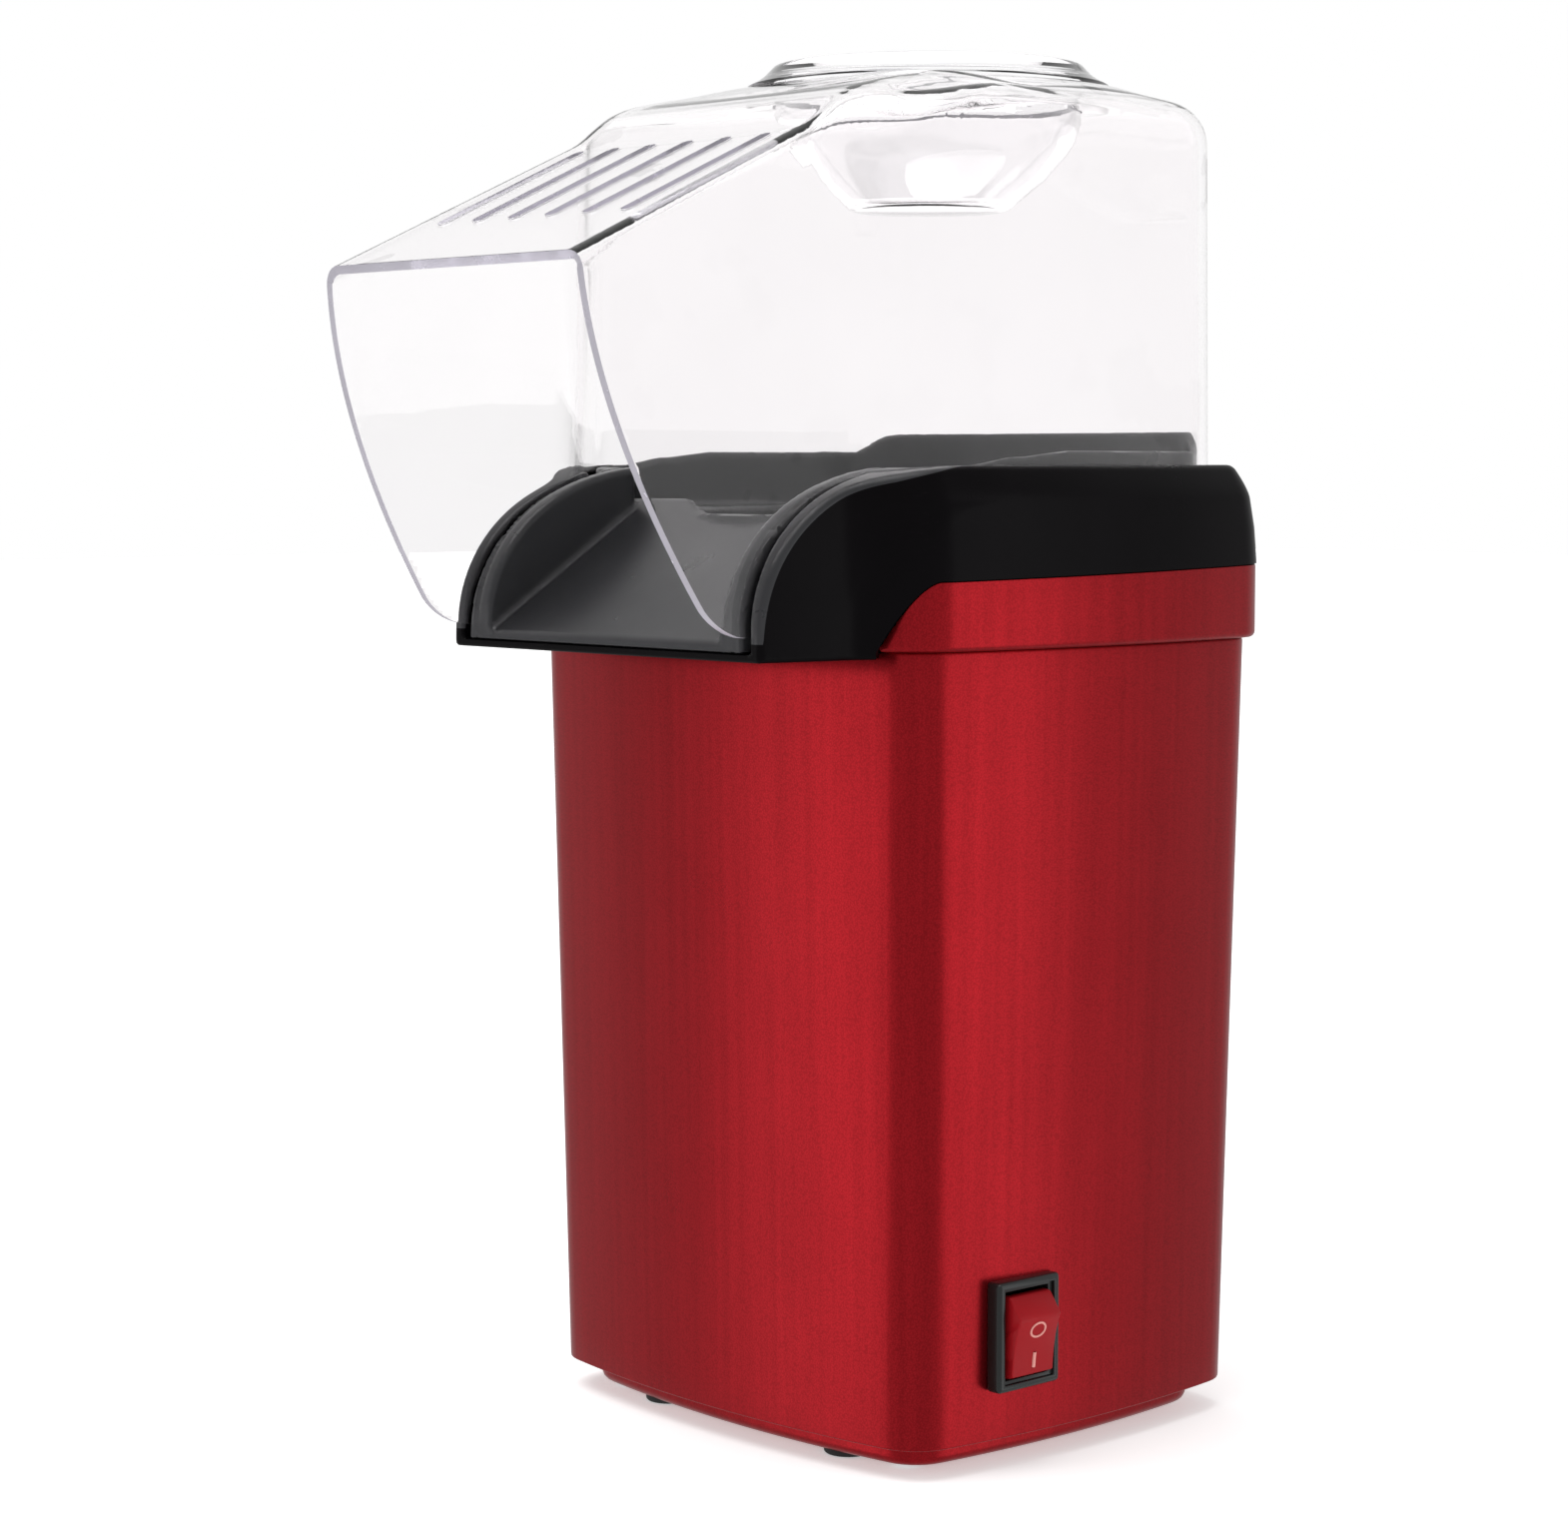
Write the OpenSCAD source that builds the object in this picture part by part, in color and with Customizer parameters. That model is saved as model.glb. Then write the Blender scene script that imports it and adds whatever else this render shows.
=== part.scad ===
// Household hot-air popcorn maker: a bowed square housing with a front chute, a clear hood
// with a measuring cup, and a heater, fan and popping chamber stacked on one vertical axis.
// Millimetres, +Z up, chute towards -Y, switch on the +X side, feet on the plane z = 0.

/* [Housing] */
// Width of the body across its sides, at the collar seam
body_w = 125; // [123:1:130]
// Depth of the body from front to back, at the collar seam
body_d = 111; // [110:1:116]
// Height of the seam between the body and the collar
seam_z = 164; // [162:0.5:166]
// Radius of the slight outward bow of every side
bow_r = 270; // [240:10:400]
// Corner radius of the body
corner_r = 10.5; // [9:0.5:13]
// How far each side leans in from the seam to the bottom edge
body_taper = 3; // [2.6:0.1:3.2]
// Wall thickness of the red and black mouldings
wall = 2.2; // [2:0.1:2.4]
// How far the collar and the deck stand proud of the body
collar_step = 2.6; // [2.2:0.1:3]

/* [Base] */
// Height of the body's bottom edge above the table
base_top = 6.3; // [6:0.1:7]
// How far the base is set in from the body
base_inset = 5.7; // [5:0.1:6]
// Clearance of the base plate above the table
foot_gap = 1.2; // [1:0.1:1.5]
// Number of air inlet slots in the base plate
inlet_slots = 11; // [7:2:13]

/* [Deck and chute] */
// Height of the top ledge of the black deck
deck_top = 200; // [198:1:202]
// Half width of the chute outside its wings
chute_half = 50; // [48:0.5:50.5]
// How far the chute reaches in front of the axis
chute_front = 81; // [80:0.5:83]
// Underside of the chute lip
chute_bottom = 162.7; // [162:0.1:163]
// Thickness of the chute lip
lip_t = 2.2; // [2:0.1:2.6]
// Height of the funnel floor around the chamber mouth
floor_z = 191; // [190:0.5:192]
// Height of the inner lip inside the hood
inner_lip_top = 203.5; // [202:0.5:205]

/* [Hood] */
// Width of the square part of the clear hood
lid_w = 115.6; // [114:0.2:116]
// Depth of the square part of the clear hood
lid_d = 101.8; // [101:0.2:103]
// Height of the flat top of the hood
lid_top = 278.4; // [276:0.2:282]
// Wall thickness of the clear hood
lid_t = 1.8; // [1.6:0.1:2]
// How far the front edge of the roof reaches in front of the axis
hood_front = 117; // [112:1:120]
// Height of the front edge of the roof
hood_front_z = 239; // [235:1:242]
// Number of steam slots in the sloping roof
vent_slots = 6; // [4:1:6]

/* [Cup] */
// Outer radius of the cup's flange
cup_flange_r = 38.5; // [37.5:0.5:39]
// Distance of the cup's axis behind the chamber axis
cup_y = 10; // [9:0.5:11]
// Height of the cup's flat bottom
cup_bottom = 253.5; // [250:0.5:256]

/* [Popping chamber] */
// Outer radius of the aluminium chamber
chamber_r = 44; // [43:0.5:44.5]
// Height of the underside of the chamber
chamber_bottom = 98; // [96:1:104]
// Number of hot air slots around the foot of the chamber
louvre_count = 24; // [16:2:28]

/* [Fan and motor] */
// Outer radius of the motor can
motor_r = 13.8; // [12.5:0.1:14]
// Number of fan blades
blade_count = 7; // [5:1:9]
// Radius of the fan over its blade tips
fan_r = 42; // [38:0.5:43]

/* [Switch] */
// Centre of the switch along the side wall
switch_y = -21.3; // [-24:0.1:-19]
// Height of the centre of the switch
switch_z = 27.7; // [26:0.1:30]
// Tilt of the rocker either side of its middle
rocker_tilt = 10; // [8:1:11]

/* [Hidden] */
$fn = 64;
eps = 0.01;

red = "#a31d22";
black = "#141414";
grey = "#3a3b3e";
clear = "#e8edf0";
steel = "#b9bcc0";
aluminium = "#c9cacc";
mica = "#c8b48a";
copper = "#b8743a";
brass = "#c9a54a";

fit_gap = 0.15;
lift_gap = 0.1;
screw_r = 1.3;
thread_gap = 0.02;
boss_r = 4;

body_half = body_w / 2;
body_half_d = body_d / 2;
base_boss = [43, 37];
deck_boss = [52, 44];
ear_at = 38.5;
base_r = 8;

// Front sweep of the deck: a superellipse in side view, from the chute lip up to the ledge
sweep_y = -30;
sweep_run = chute_front + sweep_y;
sweep_z0 = 163;
sweep_n = 2.3;
sweep_steps = 16;

// Swoosh of the collar: a quarter circle at each front corner, then a long rising edge
swoosh_y = -43.5;
swoosh_r = 13.6;
swoosh_half = 52;
collar_back_z = 179.7;

shoulder_z = deck_top - 6.5;
shoulder_in = 4.5;
wing_in = 44.9;
funnel_half = 39.8;
ramp_half = 32.5;
ramp_y = -39;
lid_r = 18;
hood_half_low = 44.2;
hood_half_high = 37.4;
hood_tip = [-88, 168];
hood_bend = [-115.5, 208];
ridge = [-36.5, lid_top - 3.4];
lid_groove = 6;
slot_pitch = 11.4;
slot_w = 3;
slot_len = 37;
slot_y = -79.5;
cup_rim_top = lid_top + 5.3;
lid_hole_r = 32.6;

duct_r = 48.3;
duct_t = 0.8;
duct_bottom = 50;
flange_z = 176.6;
flange_r = 51;
chamber_t = 1;
tube_r = 45.7;
fan_floor = 44;
fan_ring_top = 60;
fan_ring_r = 47.4;
motor_bottom = 14;
shaft_r = 1.15;
shaft_top = 60;
leg_at = 34;
leg_angles = [30, 150, 270];
coil_r = 41;
coil_wire = 2.2;
dropper_r = 22;
mica_t = 0.8;
mica_top = 93;

bezel_x = 58;
bezel_out = 4;
bezel_w = 17.4;
bezel_h = 22.2;
rocker_w = 11.6;
rocker_x = 59.2;
board_z = 16;

// ---------- outlines ----------

// Centre of the corner arc that touches two bowed sides
function corner_centre(a, b, r) =
    let (p = bow_r - a, q = bow_r - b, span = norm([p, q]))
    [-p / 2, -q / 2] + sqrt((bow_r - r) ^ 2 - span ^ 2 / 4) * [q, p] / span;

// One quarter of the bowed square, from the +X side round to the +Y side
function quarter(a, b, r, n = 6) =
    let (
        c = corner_centre(a, b, r),
        t1 = atan2(c.y, c.x + bow_r - a),
        t2 = atan2(c.y + bow_r - b, c.x)
    )
    concat(
        [for (i = [0 : n]) [a - bow_r, 0] + bow_r * [cos(t1 * i / n), sin(t1 * i / n)]],
        [for (i = [1 : n]) let (t = t1 + (t2 - t1) * i / n) c + r * [cos(t), sin(t)]],
        [for (i = [1 : n]) let (t = t2 + (90 - t2) * i / n) [0, b - bow_r] + bow_r * [cos(t), sin(t)]]
    );

function bowed_square(a, b, r) =
    let (q = quarter(a, b, r), m = len(q))
    concat(
        q,
        [for (i = [m - 2 : -1 : 0]) [-q[i].x, q[i].y]],
        [for (i = [1 : m - 1]) [-q[i].x, -q[i].y]],
        [for (i = [m - 2 : -1 : 1]) [q[i].x, -q[i].y]]
    );

module body_plan(t = 0) {
    polygon(bowed_square(body_half + t, body_half_d + t, corner_r + t));
}

module base_plan(t = 0) {
    half = body_half - body_taper - base_inset;
    half_d = body_half_d - body_taper - base_inset;
    polygon(bowed_square(half + t, half_d + t, base_r + t));
}

module lid_plan(t = 0) {
    polygon(bowed_square(lid_w / 2 + t, lid_d / 2 + t, lid_r + t));
}

function lean(z) = body_taper * (seam_z - z) / (seam_z - base_top);

// Leaning block between two heights, t outside the body surface
module body_block(t, z0, z1) {
    a0 = body_half + t - lean(z0);
    b0 = body_half_d + t - lean(z0);
    grow = lean(z0) - lean(z1);
    translate([0, 0, z0])
        linear_extrude(height = z1 - z0, scale = [(a0 + grow) / a0, (b0 + grow) / b0], slices = 1)
            polygon(bowed_square(a0, b0, corner_r + t));
}

// Extrudes a side view outline, drawn in y and z, across the full width
module across(width) {
    rotate([90, 0, 90])
        linear_extrude(height = width, center = true)
            children();
}

// Points of the front sweep that tops out at the given height
function sweep(top) = [
    for (i = [0 : sweep_steps])
        let (t = 90 * i / sweep_steps)
        [
            sweep_y - sweep_run * cos(t) ^ (2 / sweep_n),
            sweep_z0 + (top - sweep_z0) * sin(t) ^ (2 / sweep_n)
        ]
];

module below_sweep(top, front, z_low, back) {
    polygon(concat(
        [[back, z_low], [-front, z_low], [-front, sweep_z0]],
        sweep(top),
        [[back, top]]
    ));
}

// Side view of everything above the swoosh
module above_swoosh(gap) {
    arc = [for (t = [0 : 9 : 90]) [swoosh_y - swoosh_r * sin(t), seam_z + swoosh_r * cos(t)]];
    translate([0, gap])
        polygon(concat(
            [[80, 300], [80, collar_back_z], [60, collar_back_z]],
            arc,
            [[swoosh_y - swoosh_r, seam_z - 20], [-100, seam_z - 20], [-100, 300]]
        ));
}

module at_corners(p) {
    for (sx = [-1, 1], sy = [-1, 1])
        translate([sx * p.x, sy * p.y, 0])
            children();
}

// Ring shape with four ears, shared by the chamber flange and the duct flange
module eared_ring(r_out, r_in, ear_r, hole_r) {
    difference() {
        union() {
            circle(r_out, $fn = 96);
            at_corners([ear_at, ear_at])
                circle(ear_r);
        }
        circle(r_in, $fn = 96);
        at_corners([ear_at, ear_at])
            circle(hole_r);
    }
}

// Countersunk machine screw, head at the bottom, pointing up
module screw(head_r, head_h, shank_r, length) {
    cylinder(r = head_r, h = head_h);
    translate([0, 0, head_h])
        cylinder(r = shank_r, h = length);
}

// ---------- housing ----------

module body_shell() {
    inner_top = seam_z + eps;
    color(red)
    difference() {
        union() {
            difference() {
                body_block(0, base_top, seam_z);
                body_block(-wall, base_top + wall, inner_top);
                translate([0, 0, base_top - 1])
                    linear_extrude(wall + 2)
                        base_plan(-4);
            }
            at_corners(base_boss)
                translate([0, 0, base_top])
                    cylinder(r = boss_r, h = 16);
            at_corners(deck_boss)
                translate([0, 0, seam_z - 14])
                    cylinder(r = boss_r, h = 14);
        }
        at_corners(base_boss)
            translate([0, 0, base_top - 1])
                cylinder(r = screw_r, h = 15);
        at_corners(deck_boss)
            translate([0, 0, seam_z - 15])
                cylinder(r = 1.7, h = 16);
        // seat and window for the switch
        translate([bezel_x, switch_y - bezel_w / 2 - fit_gap, switch_z - bezel_h / 2 - fit_gap])
            cube([6, bezel_w + 2 * fit_gap, bezel_h + 2 * fit_gap]);
        translate([50, switch_y - 7.4, switch_z - 9.9])
            cube([12, 14.8, 19.8]);
        // hole for the cord gland
        translate([0, 40, 24])
            rotate([-90, 0, 0])
                cylinder(r = 5.6, h = 20);
        // air intake louvres low in the back wall
        for (side = [-1, 1], i = [0 : 4])
            translate([side * 28 - 11, body_half_d - 8, 14 + 5 * i])
                cube([22, 12, 2.4]);
    }
}

module collar() {
    color(red)
    difference() {
        translate([0, 0, seam_z + lift_gap])
            linear_extrude(collar_back_z - seam_z)
                body_plan(collar_step);
        translate([0, 0, seam_z + wall])
            linear_extrude(30)
                body_plan(collar_step - wall);
        translate([0, 0, seam_z - 1])
            linear_extrude(5)
                body_plan(-wall);
        across(160)
            above_swoosh(0);
        // room for the deck screw bosses
        at_corners(deck_boss)
            translate([0, 0, seam_z - 1])
                cylinder(r = boss_r + fit_gap, h = 10);
        // open behind the chute
        translate([-swoosh_half - fit_gap, -100, seam_z - 1])
            cube([2 * swoosh_half + 2 * fit_gap, 60, 30]);
    }
}

module top_deck() {
    color(black)
    difference() {
        intersection() {
            union() {
                translate([0, 0, chute_bottom])
                    linear_extrude(shoulder_z - chute_bottom)
                        body_plan(collar_step + 0.2);
                translate([0, 0, shoulder_z])
                    linear_extrude(
                        height = deck_top - shoulder_z,
                        scale = [1 - shoulder_in / body_half, 1 - shoulder_in / body_half_d],
                        slices = 1
                    )
                        body_plan(collar_step + 0.2);
                translate([-chute_half, -chute_front, chute_bottom])
                    cube([2 * chute_half, chute_front - 40, deck_top - chute_bottom]);
            }
            across(160)
                below_sweep(deck_top, chute_front, chute_bottom, 70);
            union() {
                across(160)
                    above_swoosh(fit_gap);
                translate([-swoosh_half, -chute_front, chute_bottom])
                    cube([2 * swoosh_half, chute_front - 40, 60]);
            }
        }
        // room for the body top, the collar and the funnel floor
        translate([0, 0, chute_bottom - 1])
            linear_extrude(floor_z - chute_bottom + 1)
                body_plan(0.3);
        // groove for the hood
        translate([0, 0, floor_z - 1])
            linear_extrude(20)
                lid_plan(0.5);
        // chute channel, open at the front
        translate([-wing_in, -chute_front - 5, chute_bottom + lip_t])
            cube([2 * wing_in, 60, 60]);
    }
}

// Side view of the space below the ramp, from the front limit to the funnel floor
module under_ramp(front) {
    intersection() {
        polygon([
            [-30, floor_z - wall], [ramp_y, floor_z - wall],
            [-chute_front + 1.5, chute_bottom + lip_t + 0.1], [-100, 150], [-30, 150]
        ]);
        translate([front, 100])
            square([200, 100]);
    }
}

module chute_funnel() {
    color(grey)
    difference() {
        union() {
            // floor
            translate([0, 0, floor_z - wall])
                linear_extrude(wall)
                    body_plan(0);
            // lip round the back and sides, and down both sides of the chute
            intersection() {
                union() {
                    translate([0, 0, floor_z - wall])
                        linear_extrude(inner_lip_top - floor_z + wall)
                            lid_plan(-lid_t - 0.7);
                    translate([-funnel_half, -chute_front + 1.5, chute_bottom + lip_t + 0.1])
                        cube([2 * funnel_half, chute_front + sweep_y - 1.5, 50]);
                }
                across(160)
                    difference() {
                        below_sweep(inner_lip_top, chute_front - 1.5, chute_bottom, 70);
                        under_ramp(-flange_r - 3);
                    }
            }
            // throat over the chamber
            translate([0, 0, flange_z + chamber_t + lift_gap])
                cylinder(r = tube_r, h = floor_z - flange_z - chamber_t - 1, $fn = 96);
            at_corners([ear_at, ear_at])
                translate([0, 0, flange_z + chamber_t + lift_gap])
                    cylinder(r = boss_r, h = floor_z - flange_z - chamber_t - 1);
            at_corners(deck_boss)
                translate([0, 0, seam_z + lift_gap])
                    cylinder(r = boss_r, h = floor_z - seam_z - 1);
        }
        // hollow above the floor
        difference() {
            translate([0, 0, floor_z])
                linear_extrude(30)
                    lid_plan(-lid_t - 0.7 - wall);
            translate([-100, -100, 0])
                cube([200, 100 + ridge.x - 2, 300]);
        }
        // hollow over the ramp
        intersection() {
            translate([-ramp_half, -100, 150])
                cube([2 * ramp_half, 64, 100]);
            across(160)
                polygon([
                    [-30, floor_z], [ramp_y, floor_z],
                    [-chute_front + 1.5, chute_bottom + lip_t + 1.3], [-100, 150],
                    [-100, 260], [-30, 260]
                ]);
        }
        // hollow below the ramp
        across(2 * funnel_half - 2 * wall)
            under_ramp(-100);
        // hollow inside each cheek, open below
        for (side = [-1, 1])
            translate([side * (ramp_half + funnel_half) / 2, 0, 0])
                across(funnel_half - ramp_half - 2 * wall)
                    intersection() {
                        below_sweep(inner_lip_top - wall, chute_front - 1.5 - wall, chute_bottom, 0);
                        translate([-100, 100])
                            square([100 + ridge.x - 4, 200]);
                    }
        // chamber mouth
        translate([0, 0, 150])
            cylinder(r = tube_r - wall, h = 60, $fn = 96);
        // pilot holes for the screws
        at_corners([ear_at, ear_at])
            translate([0, 0, flange_z])
                cylinder(r = screw_r, h = 10);
        at_corners(deck_boss)
            translate([0, 0, seam_z])
                cylinder(r = screw_r, h = 14);
    }
}

// ---------- clear hood and cup ----------

function bezier(p, q, r, n) = [
    for (i = [0 : n])
        let (t = i / n)
        (1 - t) ^ 2 * p + 2 * t * (1 - t) * q + t ^ 2 * r
];

slope = atan2(ridge.y - hood_front_z, ridge.x + hood_front);

// Side view of everything under the roof: flat at the back, sloping down to the front edge
module under_roof(drop) {
    across(160)
        polygon([
            [80, 140], [80, lid_top - drop], [ridge.x + 4, lid_top - drop], [ridge.x, ridge.y - drop],
            [-hood_front, hood_front_z - drop], [-hood_front - 30, hood_front_z - 30 * tan(slope) - drop],
            [-hood_front - 30, 140]
        ]);
}

// Side view of the hood in front of the square part, with its curved front edge
module hood_profile() {
    polygon(concat(
        [[-28, lid_top], [-hood_front, lid_top]],
        bezier([-hood_front, hood_front_z], hood_bend, hood_tip, 12),
        [[hood_tip.x + 4, hood_tip.y - 0.5], [-80, hood_tip.y], [-28, hood_tip.y]]
    ));
}

// Block between the two leaning side walls of the hood, t inside their outer faces
module hood_sides(t) {
    z0 = 140;
    z1 = 285;
    flare = (hood_half_low - hood_half_high) / (lid_top - hood_tip.y);
    low_half = hood_half_low + flare * (hood_tip.y - z0) - t;
    high_half = low_half - flare * (z1 - z0);
    translate([0, -28, 0])
        rotate([90, 0, 0])
            linear_extrude(height = 130)
                polygon([[-low_half, z0], [low_half, z0], [high_half, z1], [-high_half, z1]]);
}

module lid_hood() {
    roof_t = lid_t / cos(slope);
    color(clear, 0.35)
    difference() {
        intersection() {
            union() {
                translate([0, 0, floor_z + lift_gap])
                    linear_extrude(lid_top - floor_z - lift_gap)
                        lid_plan(0);
                intersection() {
                    hood_sides(0);
                    across(160)
                        hood_profile();
                }
            }
            under_roof(0);
        }
        intersection() {
            union() {
                difference() {
                    translate([0, 0, floor_z - 1])
                        linear_extrude(lid_top)
                            lid_plan(-lid_t);
                    translate([0, cup_y, lid_top - 5])
                        cylinder(r = lid_hole_r + lid_t, h = 6, $fn = 96);
                }
                hood_sides(lid_t);
            }
            under_roof(roof_t);
        }
        // the lower edge follows the sweep of the deck
        across(160)
            difference() {
                below_sweep(deck_top - lid_groove, chute_front, 150, ridge.x + 10);
                translate([-40, floor_z + lift_gap])
                    square([20, 20]);
            }
        // hole for the cup
        translate([0, cup_y, lid_top - 10])
            cylinder(r = lid_hole_r, h = 20, $fn = 96);
        // steam slots along the slope
        for (i = [0 : vent_slots - 1])
            translate([
                (i - (vent_slots - 1) / 2) * slot_pitch, slot_y,
                hood_front_z + (hood_front + slot_y) * tan(slope)
            ])
                rotate([slope, 0, 0])
                    translate([0, 0, -5])
                        linear_extrude(10)
                            steam_slot();
    }
}

module steam_slot() {
    square([slot_w, slot_len], center = true);
    for (end = [-1, 1])
        translate([0, end * slot_len / 2])
            circle(slot_w / 2, $fn = 24);
}

module measuring_cup() {
    t = 1.6;
    flange_low = lid_top + lift_gap;
    neck_r = lid_hole_r - 0.4;
    color(clear, 0.35)
    translate([0, cup_y, 0])
        rotate_extrude($fn = 96)
            polygon([
                [0, cup_bottom], [16.5, cup_bottom], [18, cup_bottom + 0.6],
                [25, cup_bottom + 6], [29.8, cup_bottom + 12], [31.4, cup_bottom + 15.5],
                [neck_r, cup_bottom + 20], [neck_r, flange_low], [cup_flange_r, flange_low],
                [cup_flange_r - 0.4, flange_low + 1.4], [cup_flange_r - 2, flange_low + 3.4],
                [cup_flange_r - 4.6, cup_rim_top - 0.2], [neck_r + 0.4, cup_rim_top],
                [neck_r - 0.8, cup_rim_top - 0.1], [neck_r - t, cup_rim_top - 0.8],
                [neck_r - t, cup_bottom + 20.2], [29.8, cup_bottom + 16], [28.4, cup_bottom + 13],
                [23.8, cup_bottom + 7.6], [17, cup_bottom + t], [0, cup_bottom + t]
            ]);
}

// ---------- base ----------

module base_plate() {
    t = 2.2;
    color(red)
    difference() {
        union() {
            difference() {
                translate([0, 0, foot_gap])
                    linear_extrude(base_top - foot_gap)
                        base_plan();
                translate([0, 0, foot_gap + t])
                    linear_extrude(10)
                        base_plan(-2);
            }
            at_corners(base_boss)
                translate([0, 0, foot_gap])
                    cylinder(r = 5, h = base_top - foot_gap);
            for (x = [-38, -22])
                translate([x, -20, foot_gap])
                    cylinder(r = 2.5, h = board_z - foot_gap);
        }
        at_corners(base_boss)
            translate([0, 0, 0])
                cylinder(r = 1.7, h = 10);
        at_corners(base_boss)
            translate([0, 0, 0])
                cylinder(r = 3.2, h = foot_gap + 2);
        for (a = leg_angles)
            rotate([0, 0, a])
                translate([leg_at, 0, 0])
                    cylinder(r = 1.7, h = 10);
        // recesses for the feet
        at_corners([28, 39])
            translate([0, 0, foot_gap - 1])
                cylinder(r = 5.2, h = 1.8);
        // air inlet slots
        for (i = [0 : inlet_slots - 1])
            let (y = (i - (inlet_slots - 1) / 2) * 4.4, half = sqrt(25 ^ 2 - y ^ 2))
            translate([-half, y - 1.2, 0])
                cube([2 * half, 2.4, 10]);
    }
}

module rubber_feet() {
    color(black)
    at_corners([28, 39])
        cylinder(r = 5, h = foot_gap + 0.8);
}

module base_screws() {
    color(steel)
    at_corners(base_boss)
        translate([0, 0, foot_gap + 0.3])
            screw(2.9, 1.7, screw_r - thread_gap, 13);
}

module deck_screws() {
    color(steel)
    at_corners(deck_boss)
        translate([0, 0, seam_z - 16])
            screw(2.9, 2, screw_r - thread_gap, 24);
}

module chamber_screws() {
    color(steel)
    at_corners([ear_at, ear_at])
        translate([0, 0, flange_z - duct_t - 2])
            screw(2.6, 2, screw_r - thread_gap, 9);
}

module cord_gland() {
    wall_y = body_half_d - lean(24);
    color(black)
    translate([0, 0, 24])
        rotate([-90, 0, 0])
            difference() {
                union() {
                    translate([0, 0, wall_y + fit_gap])
                        cylinder(r = 7.5, h = 2.5);
                    translate([0, 0, wall_y - wall - 3])
                        cylinder(r = 5.5, h = wall + 4);
                    translate([0, 0, wall_y - wall - 3])
                        cylinder(r = 6.6, h = 2.8);
                }
                translate([0, 0, wall_y - 10])
                    cylinder(r = 3.4, h = 20);
            }
}

// ---------- popping chamber and heater ----------

module popping_chamber() {
    color(aluminium)
    difference() {
        union() {
            translate([0, 0, chamber_bottom])
                cylinder(r = chamber_r, h = flange_z - chamber_bottom + chamber_t, $fn = 96);
            translate([0, 0, flange_z])
                linear_extrude(chamber_t)
                    eared_ring(flange_r, chamber_r - 2, 5, 1.6);
        }
        translate([0, 0, chamber_bottom + chamber_t])
            cylinder(r = chamber_r - chamber_t, h = 100, $fn = 96);
        // slanted slots that spin the hot air
        for (i = [0 : louvre_count - 1])
            rotate([0, 0, i * 360 / louvre_count])
                translate([chamber_r, 0, chamber_bottom + 5])
                    rotate([0, 0, 40])
                        cube([12, 1.6, 6], center = true);
    }
    // low cone that throws the corn outward
    color(aluminium)
    translate([0, 0, chamber_bottom + chamber_t - 0.2])
        cylinder(r1 = 24, r2 = 4, h = 6);
}

module air_duct() {
    color(steel)
    difference() {
        union() {
            translate([0, 0, duct_bottom])
                cylinder(r = duct_r, h = flange_z - duct_bottom, $fn = 96);
            translate([0, 0, flange_z - duct_t])
                linear_extrude(duct_t)
                    eared_ring(flange_r, chamber_r, 5, 1.6);
        }
        translate([0, 0, duct_bottom - 1])
            cylinder(r = duct_r - duct_t, h = flange_z - duct_bottom + 1 - duct_t, $fn = 96);
        translate([0, 0, flange_z - 5])
            cylinder(r = chamber_r + 0.2, h = 10, $fn = 96);
        // hole for the bushing of the heater lead
        translate([40, 0, 70])
            rotate([0, 90, 0])
                cylinder(r = 3, h = 20);
    }
}

// Mica sheet standing on the fan ring; the notches and holes carry the two coils
module mica_outline(slot_low) {
    foot = fan_ring_top + lift_gap;
    difference() {
        union() {
            translate([-coil_r + coil_wire, foot])
                square([2 * (coil_r - coil_wire), mica_top - foot]);
            translate([-46.5, foot])
                square([93, 4]);
        }
        for (sx = [-1, 1], i = [0 : 1])
            translate([sx * dropper_r, 72 + 12 * i])
                circle(coil_wire + 0.6, $fn = 32);
        translate([-mica_t / 2 - 0.05, slot_low ? foot - 1 : (foot + mica_top) / 2])
            square([mica_t + 0.1, (mica_top - foot) / 2 + 1]);
    }
}

module mica_board_x() {
    color(mica)
    rotate([90, 0, 0])
        linear_extrude(height = mica_t, center = true)
            mica_outline(true);
}

module mica_board_y() {
    color(mica)
    rotate([90, 0, 90])
        linear_extrude(height = mica_t, center = true)
            mica_outline(false);
}

module coil_ring(r, z) {
    translate([0, 0, z])
        rotate_extrude($fn = 96)
            translate([r, 0])
                circle(coil_wire - 0.1, $fn = 24);
}

module heater_coil() {
    color(steel)
    for (i = [0 : 3])
        coil_ring(coil_r, 69 + 6 * i);
}

module dropper_coil() {
    color(steel)
    for (i = [0 : 1])
        coil_ring(dropper_r, 72 + 12 * i);
}

module thermal_fuse() {
    color(steel)
    translate([7.5, -mica_t / 2 - 2.1, 89])
        rotate([0, 90, 0]) {
            cylinder(r = 2, h = 10);
            translate([0, 0, -6])
                cylinder(r = 0.5, h = 22);
        }
}

module thermostat() {
    color(black)
    translate([duct_r + 0.2, 0, 110])
        rotate([0, 90, 0]) {
            cylinder(r = 7.5, h = 5);
            for (side = [-1, 1])
                translate([-2, side * 4 - 0.4, 5])
                    cube([4.5, 0.8, 4]);
            translate([-12, -4, 1.6])
                cube([24, 8, 0.8]);
        }
}

module duct_bushing() {
    color(clear)
    translate([duct_r - duct_t - 1, 0, 70])
        rotate([0, 90, 0])
            difference() {
                union() {
                    cylinder(r = 2.9, h = 3.6);
                    translate([0, 0, 1.9])
                        cylinder(r = 4, h = 1.4);
                }
                translate([0, 0, -1])
                    cylinder(r = 1.2, h = 6);
            }
}

// ---------- fan and motor ----------

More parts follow.
